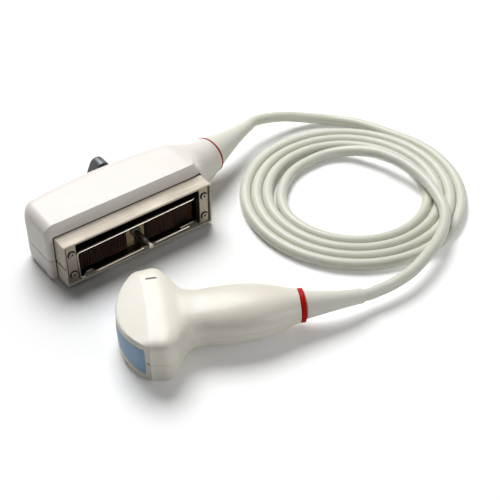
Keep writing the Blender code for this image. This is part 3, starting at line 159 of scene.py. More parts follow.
def turnedGrid(along, radius, sides):
    # circles about X: one for each place along it, of the radius there
    angle = aroundAngles(sides)
    along, radius = np.reshape(along, (-1, 1)), np.reshape(radius, (-1, 1))
    return np.stack([along + 0 * angle, radius * np.cos(angle), radius * np.sin(angle)], axis=-1)


def quarterTurn(steps):
    return np.linspace(0, np.pi / 2, steps)


def easeInOut(t):
    t = np.clip(t, 0, 1)
    return t * t * (3 - 2 * t)


# Finishes

def newMaterial(name):
    material = bpy.data.materials.new(name)
    material.use_nodes = True
    nodes, links = material.node_tree.nodes, material.node_tree.links
    return material, nodes, links, nodes["Principled BSDF"]


def setInputs(node, values):
    for socket, value in values.items():
        node.inputs[socket].default_value = value


def addNoise(nodes, links, scale, detail=3.0, roughness=0.5, stretch=(1, 1, 1)):
    coordinates = nodes.new("ShaderNodeTexCoord")
    mapping = nodes.new("ShaderNodeMapping")
    noise = nodes.new("ShaderNodeTexNoise")
    setInputs(mapping, {"Scale": stretch})
    setInputs(noise, {"Scale": scale, "Detail": detail, "Roughness": roughness})
    links.new(coordinates.outputs["Object"], mapping.inputs["Vector"])
    links.new(mapping.outputs["Vector"], noise.inputs["Vector"])
    return noise.outputs["Fac"]


def rangeOf(nodes, links, source, low, high, fromLow=0.3, fromHigh=0.7):
    # the source's run between fromLow and fromHigh, which a noise keeps to, carried over to low and high
    spread = nodes.new("ShaderNodeMapRange")
    setInputs(spread, {"From Min": fromLow, "From Max": fromHigh, "To Min": low, "To Max": high})
    links.new(source, spread.inputs["Value"])
    return spread.outputs["Result"]


def blendColours(nodes, links, factor, first, second):
    mix = nodes.new("ShaderNodeMix")
    mix.data_type = "RGBA"
    setInputs(mix, {"A": (*first, 1), "B": (*second, 1)})
    links.new(factor, mix.inputs["Factor"])
    return mix.outputs["Result"]


def addBump(nodes, links, shader, source, strength, distance):
    bump = nodes.new("ShaderNodeBump")
    setInputs(bump, {"Strength": strength, "Distance": distance})
    links.new(source, bump.inputs["Height"])
    links.new(bump.outputs["Normal"], shader.inputs["Normal"])


plasticLook = {
    "patches": 22.0, "wear": 140.0, "smoother": 0.05, "rougher": 0.06, "grainStrength": 0.35,
    "coatRoughness": 0.2, "scatterTint": (1.0, 0.85, 0.7), "scatterDepth": 0.002,
}
# the dark tone is painted shade, for metal deep inside the socket
metalLook = {
    "clouds": 60.0, "smoother": 0.07, "rougher": 0.1, "grainStrength": 0.5, "paintedShadeTone": (0.03, 0.027, 0.024),
}


def plastic(name, colour, shade, roughness, grain=2600.0, grainDepth=0.00002, coat=0.0, softness=0.0, gloss=0.5):
    # two close tones in broad patches, a fine spark-eroded grain, and polish that varies a little
    look = plasticLook
    material, nodes, links, shader = newMaterial(name)
    patches = rangeOf(nodes, links, addNoise(nodes, links, look["patches"], 4.0), 0, 1)
    links.new(blendColours(nodes, links, patches, colour, shade), shader.inputs["Base Color"])
    polish = rangeOf(nodes, links, addNoise(nodes, links, look["wear"], 5.0, 0.6),
                     roughness - look["smoother"], roughness + look["rougher"])
    links.new(polish, shader.inputs["Roughness"])
    addBump(nodes, links, shader, addNoise(nodes, links, grain, 2.0), look["grainStrength"], grainDepth)
    setInputs(shader, {
        "Specular IOR Level": gloss, "Coat Weight": coat, "Coat Roughness": look["coatRoughness"],
        "Subsurface Weight": softness, "Subsurface Radius": look["scatterTint"],
        "Subsurface Scale": look["scatterDepth"],
    })
    return material


def metal(name, colour, shade, roughness, grainAcross=(1, 1, 1), grain=900.0, grainDepth=0.000006,
          paintedShadeBehind=None):
    # metal with a drawn or ground grain: noise stretched along the working direction, in tone, polish and bump.
    # The last argument gives the place along Y, and the run, past which the metal goes over to a dark tone: painted
    # shade deeper inside the socket
    look = metalLook
    material, nodes, links, shader = newMaterial(name)
    setInputs(shader, {"Metallic": 1.0})
    lines = addNoise(nodes, links, grain, 4.0, 0.6, stretch=grainAcross)
    clouds = addNoise(nodes, links, look["clouds"], 4.0, 0.55)
    tone = blendColours(nodes, links, rangeOf(nodes, links, clouds, 0, 1), colour, shade)
    # painted shade: past that place along Y the colour runs into a dark tone
    if paintedShadeBehind:
        place, run = paintedShadeBehind
        split = nodes.new("ShaderNodeSeparateXYZ")
        links.new(nodes.new("ShaderNodeTexCoord").outputs["Object"], split.inputs["Vector"])
        depth = rangeOf(nodes, links, split.outputs["Y"], 0, 1, place, place + run)
        inShade = blendColours(nodes, links, depth, colour, look["paintedShadeTone"])
        links.new(tone, inShade.node.inputs["A"])
        tone = inShade
    links.new(tone, shader.inputs["Base Color"])
    polish = rangeOf(nodes, links, lines, roughness - look["smoother"], roughness + look["rougher"])
    links.new(polish, shader.inputs["Roughness"])
    addBump(nodes, links, shader, lines, look["grainStrength"], grainDepth)
    return material


shellPlastic = plastic("shellPlastic", (0.80, 0.765, 0.665), (0.77, 0.73, 0.625), 0.40, coat=0.1, softness=0.06)
housingPlastic = plastic("housingPlastic", (0.765, 0.72, 0.68), (0.735, 0.695, 0.65), 0.42, coat=0.08, softness=0.05)
lensRubber = plastic("lensRubber", (0.235, 0.41, 0.61), (0.21, 0.385, 0.58), 0.42, grain=1500.0,
                     grainDepth=0.000008, softness=0.1)
bootRubber = plastic("bootRubber", (0.74, 0.73, 0.655), (0.70, 0.69, 0.61), 0.5, grain=1900.0, softness=0.1)
jacketRubber = plastic("jacketRubber", (0.68, 0.68, 0.585), (0.63, 0.635, 0.54), 0.42, grain=1400.0,
                       grainDepth=0.00003, coat=0.1, softness=0.08)
redPlastic = plastic("redPlastic", (0.54, 0.005, 0.001), (0.47, 0.004, 0.001), 0.42, gloss=0.1)
darkRedPlastic = plastic("darkRedPlastic", (0.42, 0.012, 0.008), (0.34, 0.010, 0.007), 0.38, gloss=0.25)
markInlay = plastic("markInlay", (0.055, 0.05, 0.048), (0.08, 0.075, 0.07), 0.5)
socketPlastic = plastic("socketPlastic", (0.006, 0.0055, 0.005), (0.011, 0.0095, 0.009), 0.55, grainDepth=0.00003,
                        gloss=0.12)
leverPaint = metal("leverPaint", (0.10, 0.102, 0.108), (0.06, 0.062, 0.066), 0.36, grain=1200.0, grainDepth=0.00002)
nickelPlate = metal("nickelPlate", (0.365, 0.333, 0.283), (0.31, 0.281, 0.238), 0.68, (0.04, 1, 1))
plateNickel = metal("plateNickel", (0.36, 0.315, 0.25), (0.29, 0.25, 0.195), 0.40, (1, 1, 0.06))
turnedSteel = metal("turnedSteel", (0.74, 0.71, 0.66), (0.66, 0.63, 0.58), 0.24, grain=1600.0)
screwNickel = metal("screwNickel", (0.42, 0.38, 0.31), (0.34, 0.305, 0.25), 0.34, grain=1600.0)
# dark steel for the lock's cross pin; on the sleeve round the shaft this black is painted shade
darkSteelAndShade = metal("darkSteelAndShade", (0.05, 0.047, 0.043), (0.08, 0.074, 0.066), 0.38, (1, 1, 1), 1600.0)
# bright metal at the rim's lip, painted dark behind it as the shade inside the socket
brightRimAndShade = metal("brightRimAndShade", (0.84, 0.78, 0.69), (0.78, 0.72, 0.63), 0.30, (0.05, 1, 1),
                  paintedShadeBehind=(-0.0300, 0.0006))
guideBrass = metal("guideBrass", (0.36, 0.29, 0.17), (0.27, 0.21, 0.12), 0.38, (1, 1, 0.1))
contactCopper = metal("contactCopper", (0.17, 0.052, 0.026), (0.09, 0.028, 0.014), 0.38)
boardResist = plastic("boardResist", (0.03, 0.16, 0.075), (0.025, 0.13, 0.06), 0.4)
flexFilm = plastic("flexFilm", (0.42, 0.20, 0.035), (0.36, 0.165, 0.03), 0.35)
firedCeramic = plastic("firedCeramic", (0.42, 0.37, 0.28), (0.38, 0.33, 0.25), 0.6)
backingResin = plastic("backingResin", (0.05, 0.05, 0.055), (0.07, 0.07, 0.075), 0.6)
print("finishes made")


# The cable: one free cord, from the connector's boot round the coil to the handpiece's boot

cable = {
    "diameter": 0.0075,
    "coilCentre": (0.1450, -0.0646),
    "coilRadius": 0.0746,   # centreline radius where the first turn meets the line of sight
    "coilTurnOffset": math.radians(-36.4),
    "coilFrom": 62.0,       # degrees, falling along the cable
    "coilTo": -1240.0, "coilStep": 15.0, "height": 0.0038, "sides": 28, "spacing": 0.0022, "listSpacing": 0.012,
}
cableOut = [
    (0.1379, 0.0262, 0.0163), (0.1498, 0.0262, 0.0132), (0.1613, 0.0245, 0.0100), (0.1713, 0.0210, 0.0071),
    (0.1812, 0.0159, 0.0050), (0.1899, 0.0092, 0.0039), (0.2000, -0.0024, 0.0038), (0.2079, -0.0175, 0.0038),
]
cableBack = [
    (0.1053, -0.0400, 0.0038), (0.1128, -0.0327, 0.0038), (0.1218, -0.0263, 0.0038), (0.1336, -0.0218, 0.0038),
    (0.1443, -0.0206, 0.0038), (0.1539, -0.0208, 0.0040), (0.1633, -0.0232, 0.0045), (0.1711, -0.0279, 0.0056),
    (0.1763, -0.0336, 0.0072), (0.1802, -0.0405, 0.0091), (0.1846, -0.0501, 0.0108), (0.1867, -0.0593, 0.0118),
    (0.1887, -0.0699, 0.0119), (0.1888, -0.0822, 0.0119), (0.1873, -0.0936, 0.0120), (0.1840, -0.1050, 0.0120),
    (0.1751, -0.1235, 0.0120), (0.1611, -0.1364, 0.0119), (0.1467, -0.1443, 0.0119), (0.1328, -0.1497, 0.0119),
    (0.1174, -0.1538, 0.0112), (0.1021, -0.1546, 0.0105), (0.0905, -0.1535, 0.0103),
]


def coilPoints():
    # a flat spiral: the radius shrinks by one cable diameter each turn, so that the turns lie side by side
    turn = np.arange(cable["coilFrom"], cable["coilTo"], -cable["coilStep"])
    radius = cable["coilRadius"] + cable["diameter"] * turn / 360
    angle = np.radians(turn) + cable["coilTurnOffset"]
    x = cable["coilCentre"][0] + radius * np.cos(angle)
    y = cable["coilCentre"][1] + radius * np.sin(angle)
    return np.stack([x, y, np.full_like(x, cable["height"])], axis=-1)


bothBoots = {
    "spigotDepth": 0.0045, "collar": 0.0022, "collarProud": 0.0001, "power": 1.55, "gap": 0.0003, "baseRound": 0.0008,
    "baseDrop": 0.0006, "lipRound": 0.0003, "mouthStep": 0.004, "mouthReach": 0.006, "leadIn": 0.0001,
    "slopeStep": 0.0005, "taperRings": 70, "boreRings": 16, "sides": 56,
}
handleBootShape = {
    **bothBoots, "diameter": 0.0172, "length": 0.0366, "bend": (0.0058, -0.0040), "ring": 0.0030, "spigot": 0.0078,
    "tipWall": 0.0009,
}
connectorBootShape = {
    **bothBoots, "diameter": 0.0242, "length": 0.0464, "bend": (0.0030, -0.0026), "ring": 0.0012, "spigot": 0.0102,
    "tipWall": 0.0005,
}


def bootLine(shape, along):
    # the boot's centreline: straight to its base, then a gentle parabola to the side and down
    share = np.clip(along, 0, None) / shape["length"]
    base = shape["ring"] + 2 * shape["gap"]
    return np.stack([along + base, shape["bend"][0] * share**2, shape["bend"][1] * share**2], axis=-1)


def bootMouth(shape, place):
    # the two points just past the boot's tip that the cable starts from
    tip = bootLine(shape, np.array([shape["length"], shape["length"] + shape["mouthStep"]]))
    step = (tip[1] - tip[0]) / np.linalg.norm(tip[1] - tip[0])
    return place(np.array([tip[0] + step * shape["gap"], tip[0] + step * shape["mouthReach"]]))


cableStart = bootMouth(connectorBootShape, onNeck)
cableEnd = bootMouth(handleBootShape, onHandleTail)
cableRoute = np.vstack([cableStart, np.array(cableOut), coilPoints(), np.array(cableBack), cableEnd[::-1]])
cablePath = smoothPath(cableRoute, cable["spacing"])


def makeCable():
    # the jacket: circles carried along the path, with flat ends hidden in the boots' mouths
    ahead = np.gradient(cablePath, axis=0)
    rings = circlesAlong(cablePath, ahead, np.full(len(cablePath), cable["diameter"] / 2), cable["sides"])
    faces = gridFaces(len(cablePath), cable["sides"])
    last = (len(cablePath) - 1) * cable["sides"]
    faces += [list(range(cable["sides"]))[::-1], list(range(last, last + cable["sides"]))]
    jacket = meshPiece("cableJacket", rings, faces, jacketRubber)
    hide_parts("cable_lead_connector", "cable_coil", "cable_lead_probe")
    smoothPath(cableRoute, cable["listSpacing"]).tolist()


makeCable()


# The handpiece's two shells

handle = {
    "noseWidth": 0.0645, "noseThickness": 0.0230, "noseSquareness": 10.0, "ridge": 0.0162, "ridgeBow": 0.0016,
    "bowFade": 0.012, "foldSoftness": 0.000084, "foldReach": 0.004, "lensRadius": 0.041, "lensBorder": 0.0042,
    "wall": 0.002, "seam": 0.00012, "lipRound": 0.0005, "lipBack": 0.0004, "around": 120, "tailRows": 150,
}
handleStations = np.array([   # setback from the nose, half width, half thickness, squareness
    (0.0162, 0.0330, 0.0155, 9.0), (0.0287, 0.0328, 0.0154, 7.5), (0.0323, 0.0297, 0.0147, 5.4),
    (0.0360, 0.0239, 0.0139, 3.9), (0.0396, 0.0193, 0.0135, 3.2), (0.0452, 0.01725, 0.0131, 2.9),
    (0.0569, 0.01805, 0.0134, 2.6), (0.0685, 0.0187, 0.0137, 2.45), (0.0832, 0.0176, 0.0132, 2.3),
    (0.0957, 0.0140, 0.0118, 2.15), (0.1034, 0.0112, 0.0105, 2.05), (0.1073, 0.0101, 0.0101, 2.0),
])


def squareRound(halfWidth, halfThickness, squareness, angle):
    # a superellipse read at even angles about its centre, so that its corners keep enough points
    c, s = np.cos(angle), np.sin(angle)
    inner = (np.abs(c) / halfWidth) ** squareness + (np.abs(s) / halfThickness) ** squareness
    reach = inner ** (-1 / squareness)
    return reach * c, reach * s


def handleRows():
    # shares of the way from nose to tail: up the slope, over the narrow fold, then back in even steps
    slope = np.hstack([np.linspace(0, 0.9, 18), np.linspace(0.92, 1.0, 9)])
    setback = np.hstack([slope, 1.02, 1.045, 1.08, 1.13, 1.2]) * handle["ridge"]
    return np.hstack([setback, np.linspace(setback[-1], handleLength, handle["tailRows"])[1:]])


def handleSkin(inset, upper):
    # Half sections of the handle from nose to tail, a superellipse in each. In front of the ridge the section is
    # bent along the lens's arc, and its thickness grows in proportion to the distance behind the nose. The ridge
    # itself is bowed back in the middle, and the fold there is the smooth minimum of the slope and the strip.
    h, setback = handle, handleRows()
    ridge, half, nose = h["ridge"], handleStations[0, 2], h["noseThickness"] / 2
    stations = hermite(handleStations[:, 0], handleStations[:, 1:], np.clip(setback, ridge, handleLength))
    setback = setback[:, None]
    ownWidth, full, ownSquareness = (line[:, None] for line in stations.T)
    share = np.clip(setback / ridge, 0, 1)
    width = np.where(setback < ridge, h["noseWidth"] / 2 * (1 - share) + ownWidth * share, ownWidth)
    squareness = np.where(setback < ridge, h["noseSquareness"] * (1 - share) + ownSquareness * share, ownSquareness)
    angle = np.linspace(0, np.pi, h["around"] + 1)
    side, height = squareRound(width - inset, full, squareness, angle)
    sag = h["lensRadius"] - np.sqrt(h["lensRadius"] ** 2 - side**2)
    bow = h["ridgeBow"] * (1 - (side / width) ** 2)
    fade = easeInOut(1 - (setback - ridge) / h["bowFade"])
    along = setback + sag * (1 - share) + bow * share * fade
    rise = nose + (half - nose) * along / (ridge + bow)
    folded = (rise + full - np.sqrt((rise - full) ** 2 + h["foldSoftness"] ** 2)) / 2
    thickness = np.where(setback < ridge + h["foldReach"], folded, full)
    if inset:
        thickness = np.minimum(thickness - h["lensBorder"] * (1 - share), thickness - inset)
    height = np.maximum(height / full * thickness, h["seam"] / 2)
    return np.stack([along, side, height if upper else -height], axis=-1)


def makeHandleShell(name, upper, node):
    # the outer skin and the inner one joined along the parting plane and round both ends
    outer = handleSkin(0.0, upper)
    lip = handle["lipRound"]
    rim = outer[:1].copy()
    rim[..., 1:] *= 1 - lip / np.maximum(np.linalg.norm(rim[..., 1:], axis=-1, keepdims=True), lip)
    outer = np.vstack([rim, outer])
    outer[1, :, 0] += handle["lipBack"]
    inner = handleSkin(handle["wall"], upper)
    inner = np.vstack([inner[:1], inner])
    loop = np.hstack([outer, inner[:, ::-1]])
    if not upper:
        loop = loop[:, ::-1]
    rows, columns = loop.shape[:2]
    faces = gridFaces(rows, columns)
    half = columns // 2
    k = np.arange(half - 1)
    start = np.stack([k, columns - 1 - k, columns - 2 - k, k + 1], axis=-1)
    end = (rows - 1) * columns + start[:, ::-1]
    faces += start.tolist() + end.tolist()
    shell = meshPiece(name, onHandpiece(loop), faces, shellPlastic, sharpAngle=32)
    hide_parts(node)


makeHandleShell("handleShellTop", True, "handle_shell_upper")
makeHandleShell("handleShellBottom", False, "handle_shell_lower")


# The lens

lens = {
    "halfWidth": 0.0303, "halfHeight": 0.0073, "crown": 0.0003, "depth": 0.0016, "edgeRound": 0.0005,
    "edgeReach": 0.0008, "crowdAlong": 0.35, "crowdAcross": 0.5, "rows": 90, "columns": 44,
}


def makeLens():
    # A strip of a cylinder, a little crowned across, with rounded edges: a closed cushion of two grids, whose
    # lines crowd towards its edges, and which widens with the sloping fronts as it runs round the arc.
    k, arc = lens, handle["lensRadius"]
    rows, columns = k["rows"], k["columns"]
    u = np.linspace(-1, 1, rows)[:, None]
    v = np.linspace(-1, 1, columns)
    u = np.sin(u * np.pi / 2) * k["crowdAlong"] + u * (1 - k["crowdAlong"])
    v = np.sin(v * np.pi / 2) * k["crowdAcross"] + v * (1 - k["crowdAcross"])
    edge = np.minimum((1 - np.abs(u)) * k["halfWidth"], (1 - np.abs(v)) * k["halfHeight"])
    edge = np.clip(edge / k["edgeReach"], 0, 1)
    fall = k["edgeRound"] * (1 - np.sqrt(np.clip(1 - (1 - edge) ** 2, 0, 1)))
    angle = np.arcsin(u * k["halfWidth"] / arc)
    slope = (handleStations[0, 2] - handle["noseThickness"] / 2) / handle["ridge"]
    height = v * (k["halfHeight"] + slope * arc * (1 - np.cos(angle)))
    faces = gridFaces(rows, columns, False, False)
    count = rows * columns
    faces = [f[::-1] for f in faces] + [[count + k for k in f] for f in faces]
    ring = list(range(columns)) + [i * columns + columns - 1 for i in range(1, rows)]
    ring += [(rows - 1) * columns + j for j in range(columns - 2, -1, -1)]
    ring += [i * columns for i in range(rows - 2, 0, -1)]
    faces += [[a, b, count + b, count + a] for a, b in zip(ring, ring[1:] + ring[:1])]
    grids = [np.stack([arc - radius * np.cos(angle), radius * np.sin(angle), height], axis=-1)
             for radius in (arc + k["crown"] * (1 - v**2) - fall, arc - k["depth"] + 0 * v)]
    piece = meshPiece("lensFace", onHandpiece(np.array(grids)), faces, lensRubber, sharpAngle=50)
    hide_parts("acoustic_lens")


makeLens()


# Rings and boots

def bootProfile(shape):
    # radius against distance: the spigot, the base, a hollow taper, and a small straight collar at the tip
    tip = cable["diameter"] / 2 + shape["tipWall"]
    base = shape["diameter"] / 2
    along = np.linspace(0, 1, shape["taperRings"])
    taper = tip + (base - tip) * (1 - along) ** shape["power"]
    taper = np.where(along > 1 - shape["collar"] / shape["length"], tip + shape["collarProud"], taper)
    rounding = np.sqrt(np.clip(1 - (1 - np.clip(along * shape["length"] / shape["baseRound"], 0, 1)) ** 2, 0, 1))
    return along * shape["length"], taper - shape["baseDrop"] * (1 - rounding)


def makeBoot(name, shape, place, node):
    # circles carried along the boot's bent line; the profile goes out over the taper and back down the bore
    along, radius = bootProfile(shape)
    start = -shape["spigotDepth"] - shape["ring"] - 2 * shape["gap"]
    bore = cable["diameter"] / 2 + shape["gap"] / 2
    along[-1] -= shape["lipRound"]
    inside = np.linspace(shape["length"], start, shape["boreRings"])
    along = np.hstack([start, -shape["leadIn"], along, shape["length"], inside])
    radius = np.hstack([[shape["spigot"]] * 2, radius, radius[-1] - shape["lipRound"], bore + 0 * inside])
    ahead = bootLine(shape, along + shape["slopeStep"]) - bootLine(shape, along - shape["slopeStep"])
    points = circlesAlong(bootLine(shape, along), ahead, radius, shape["sides"])
    faces = gridFaces(len(along), shape["sides"], closedRows=True)
    boot = meshPiece(name, place(points), faces, bootRubber, sharpAngle=35)
    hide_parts(node)


rings = {
    "handleRing": {"radius": 0.0103, "bore": 0.0081, "length": handleBootShape["ring"], "edge": 0.0005},
    "connectorRing": {"radius": 0.0129, "bore": 0.0105, "length": connectorBootShape["ring"], "edge": 0.0003},
}
ringSides = 72


def makeRing(name, place, node, material):
    # a turned band with rounded edges, closed through its bore
    radius, bore, length, edge = rings[name].values()
    t = quarterTurn(6)
    near, far = bothBoots["gap"], bothBoots["gap"] + length
    along = np.hstack([[near], near + edge * (1 - np.cos(t)), far - edge * (1 - np.cos(t[::-1])), [far]])
    out = np.hstack([[bore], radius - edge * (1 - np.sin(t)), radius - edge * (1 - np.sin(t[::-1])), [bore]])
    points = turnedGrid(along, out, ringSides)
    faces = gridFaces(len(along), ringSides, closedRows=True)
    ring = meshPiece(name, place(points), faces, material, sharpAngle=50)
    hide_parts(node)


makeBoot("handleBoot", handleBootShape, onHandleTail, "handle_boot")
makeBoot("connectorBoot", connectorBootShape, onNeck, "connector_boot")
makeRing("handleRing", onHandleTail, "handle_ring", redPlastic)
makeRing("connectorRing", onNeck, "connector_ring", darkRedPlastic)
print("handpiece, rings and boots made")


# The connector's covers

housing = {
    "halfLength": 0.0585, "front": -0.020, "back": 0.020, "height": 0.0415, "seam": 0.016, "seamGap": 0.0006,
    "backBow": 0.0045, "bowHalf": 0.054, "straightEnd": 0.046, "wall": 0.0022,
    "endFront": 0.0025, "endBack": 0.0085, "endTop": 0.0070, "endBottom": 0.0035, "rearTop": 0.008,
    "rearBottom": 0.006, "frontBottom": 0.0015, "chamferDepth": 0.0026, "chamferEdge": 0.0340,
    "chamferSoftness": 0.3, "chamferEase": 0.012, "chamferTurn": 0.0004, "chamferEnd": 0.55,
    "neckRadius": 0.0129, "baseFlat": 0.2, "edgeDrop": 0.0075, "roundingRate": 5, "kneeShare": 0.35,
    "windowReach": 0.0543, "brokenEdge": 0.00025, "sharpAngle": 28,
}
housingSteps = {   # numbers of rows along the housing, and of points over the covers' faces and edges
    "leftEnd": 22, "straight": 42, "neck": 80, "front": 9, "chamfer": 27, "top": 16, "rearEdge": 25, "rear": 12,
    "knee": 7, "bottomEdge": 10, "bottom": 20,
}
closingIn = np.array([   # share of the way to the neck, and how far the front and the back have closed in
    (0.0, 0.0, 0.0), (0.11, 0.0, 0.16), (0.20, 0.03, 0.34), (0.26, 0.14, 0.46), (0.31, 0.40, 0.56),
    (0.36, 0.58, 0.65), (0.46, 0.74, 0.78), (0.60, 0.87, 0.90), (0.80, 0.97, 0.98), (1.0, 1.0, 1.0),
])


def evenSteps(name):
    return np.linspace(0, 1, housingSteps[name])


def neckLine(share):
    # the centreline from the housing's straight part to the neck's end, and its heading
    start = np.array([housing["straightEnd"], 0.0])
    end = np.array(neckPlace["end"][:2])
    reach = np.linalg.norm(end - start)
    leaving = np.array([reach, 0.0])
    arriving = reach * np.array([math.cos(neckPlace["yaw"]), math.sin(neckPlace["yaw"])])
    t = np.asarray(share, float)[:, None]
    return cubic(t, start, leaving, end, arriving), neckPlace["yaw"] * easeInOut(t[:, 0])


def housingRows():
    # One row for each section: its centreline place and heading, its front, back, bottom and top, how far it has
    # become the neck's circle, and the height of its chamfer's lower edge. The left end is rounded by quarter
    # circles, of a radius of its own for each face.
    h = housing
    endReach = max(h["endBack"], h["endTop"])
    distance = endReach * (1 - np.cos(evenSteps("leftEnd") * np.pi / 2))
    straight = np.linspace(endReach, h["halfLength"] + h["straightEnd"], housingSteps["straight"])[1:-1]
    distance = np.sort(np.hstack([distance, straight, [h["halfLength"] - h["windowReach"]]]))

    def rest(radius):
        return radius - np.sqrt(radius**2 - np.clip(radius - distance, 0, None) ** 2)

    x = distance - h["halfLength"]
    share = evenSteps("neck")
    place, heading = neckLine(share)
    atWindow = np.interp(h["windowReach"], place[:, 0] - h["front"] * np.sin(heading), share)
    share = np.sort(np.append(share, atWindow))
    place, heading = neckLine(share)
    drops = np.clip(hermite(closingIn[:, 0], closingIn[:, 1:], share), 0, 1)
    blend = easeInOut(share)
    lift = easeInOut((share - h["baseFlat"]) / (1 - h["baseFlat"]))
    back = h["back"] - h["backBow"] * (x / h["bowHalf"]) ** 2
    ownBack = h["back"] - h["backBow"] * (h["straightEnd"] / h["bowHalf"]) ** 2
    radius, neckHeight = h["neckRadius"], neckPlace["end"][2]
    body = np.stack([
        x, 0 * x, 0 * x, h["front"] + rest(h["endFront"]), back - rest(h["endBack"]), rest(h["endBottom"]),
        h["height"] - rest(h["endTop"]), 0 * x, 0 * x + h["chamferEdge"] - rest(h["endTop"]),
    ], axis=-1)
    top = h["height"] * (1 - blend) + (neckHeight + radius) * blend
    edge = easeInOut((share - atWindow) / (h["chamferEnd"] - atWindow))
    edge = h["chamferEdge"] * (1 - edge) + neckHeight * edge
    neck = np.stack([
        place[:, 0], place[:, 1], heading, h["front"] * (1 - drops[:, 0]) - radius * drops[:, 0],
        ownBack * (1 - drops[:, 1]) + radius * drops[:, 1], (neckHeight - radius) * lift, top, blend,
        np.minimum(edge, top - h["edgeDrop"] * (1 - blend)),
    ], axis=-1)
    return np.vstack([body, neck])


def sideAt(z, limit, inward, middle, radius):
    # the side face at a height: straight, or on the bottom corner's arc where it is below that arc's centre
    below = np.clip(middle - z, 0, None)
    return limit + inward * (radius - np.sqrt(np.clip(radius**2 - below**2, 0, None)))


def upperFaces(front, back, bottom, top, blend, edge, full, seam, rearTop, rearBottom, frontBottom):
    # Up the front face, over its chamfer, back along the top, round the rear edge, and down to the seam. The
    # chamfer is a mix of a soft flat and a quarter of an ellipse, which takes over as the neck gets round.
    h = housing
    run = seam + (edge - h["chamferTurn"] - seam) * np.append(evenSteps("front"), 1.0)
    run[:, -1:] = edge
    parts = [(sideAt(run, front, 1, bottom + frontBottom, frontBottom), run)]
    roundness = easeInOut(h["roundingRate"] * blend)
    steps = evenSteps("chamfer")[1:]
    softened = steps + h["chamferEase"] * np.sin(2 * np.pi * steps)
    width = h["chamferDepth"] * (1 - roundness) + np.maximum(full, top - edge) * roundness
    width = np.minimum(width, (back - front) / 2)
    mix = np.maximum(roundness, h["chamferSoftness"])
    angle = steps * np.pi / 2
    chamferY = front + h["chamferDepth"] * softened * (1 - mix) + width * (1 - np.cos(angle)) * mix
    parts.append((chamferY, edge + (top - edge) * (softened * (1 - mix) + np.sin(angle) * mix)))
    topRun = chamferY[:, -1:] + (back - rearTop - chamferY[:, -1:]) * evenSteps("top")[1:]
    parts.append((topRun, top + 0 * topRun))
    angle = evenSteps("rearEdge")[1:] * np.pi / 2
    parts.append((back - rearTop * (1 - np.sin(angle)), top - rearTop * (1 - np.cos(angle))))
    run = top - rearTop + (seam - top + rearTop) * evenSteps("rear")[1:]
    return parts + [(sideAt(run, back, -1, bottom + rearBottom, rearBottom), run)]


def lowerFaces(front, back, bottom, seam, rearBottom, frontBottom):
    # down both sides from the seam, round the bottom edges and along the bottom between them
    parts = []
    for limit, inward, radius in ((front, 1, frontBottom), (back, -1, rearBottom)):
        middle = bottom + radius
        low = middle - radius * math.sin(math.pi / 4)
        knee = np.minimum(middle, seam - housing["kneeShare"] * (seam - low))
        run = np.hstack([seam + (knee - seam) * evenSteps("front"), knee + (low - knee) * evenSteps("knee")[1:]])
        angle = np.pi / 4 * (1 + evenSteps("bottomEdge")[1:])
        parts.append((
            np.hstack([sideAt(run, limit, inward, middle, radius), limit + inward * radius * (1 - np.cos(angle))]),
            np.hstack([run, middle - radius * np.sin(angle)]),
        ))
    (frontY, frontZ), (backY, backZ) = parts
    baseY = frontY[:, -1:] + (backY[:, -1:] - frontY[:, -1:]) * evenSteps("bottom")[1:-1]
    return [(frontY, frontZ), (baseY, bottom + 0 * baseY), (backY[:, ::-1], backZ[:, ::-1])]


def coverSkin(upper):
    # rows of points over one cover, from its front parting edge round to the rear one
    h = housing
    x, y0, heading, front, back, bottom, top, blend, edge = (line[:, None] for line in housingRows().T)
    full = np.minimum(back - front, top - bottom) / 2
    rearTop, rearBottom, frontBottom = (
        np.minimum(full, h[name] * (1 - blend) + full * blend) for name in ("rearTop", "rearBottom", "frontBottom")
    )
    seam = h["seam"] + (0.5 if upper else -0.5) * h["seamGap"]
    if upper:
        parts = upperFaces(front, back, bottom, top, blend, edge, full, seam, rearTop, rearBottom, frontBottom)
    else:
        parts = lowerFaces(front, back, bottom, seam, rearBottom, frontBottom)
    y, z = (np.hstack(group) for group in zip(*parts))
    return np.stack([x - y * np.sin(heading), y0 + y * np.cos(heading), z], axis=-1)


def breakEdges(piece, width, angle):
    # a small bevel on the edges that are sharper than the angle in degrees
    bevel = piece.modifiers.new("brokenEdges", "BEVEL")
    bevel.width = width
    bevel.segments = 2
    bevel.limit_method = "ANGLE"
    bevel.angle_limit = math.radians(angle)


def makeCover(name, upper, node):
    # the skin with the shroud's window left out and a flat left end, thickened inwards
    skin = coverSkin(upper)
    rows, columns = skin.shape[:2]
    faces = np.array(gridFaces(rows, columns, False, False))
    middles = skin.reshape(-1, 3)[faces].mean(axis=1)
    inWindow = (faces[:, 0] % columns) < housingSteps["front"] - 1
    inWindow &= (np.abs(middles[:, 0]) < housing["windowReach"]) & (middles[:, 1] < 0)
    faces = faces[~inWindow]
    if upper:
        faces = faces[:, ::-1]
    cap = list(range(columns))
    cover = meshPiece(name, skin, faces.tolist() + [cap if upper else cap[::-1]], housingPlastic,
                      sharpAngle=housing["sharpAngle"])
    thicken = cover.modifiers.new("wall", "SOLIDIFY")
    thicken.thickness = housing["wall"]
    thicken.offset = -1.0
    thicken.use_even_offset = True
    breakEdges(cover, housing["brokenEdge"], 60.0)
    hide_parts(node)


makeCover("connectorTop", True, "connector_cover_upper")
makeCover("connectorBottom", False, "connector_cover_lower")
print("connector covers made")


# Index mark

mark = {
    "length": 0.0068, "width": 0.0016, "place": (0.0232, 0.0219), "proud": 0.00008, "endFullness": 6, "around": 28,
    "reach": (0, 0.6, 0.9, 1, 1, 1), "fall": (0, 0, 0.00003, 0.0001, 0.0002, 0.0006),
}


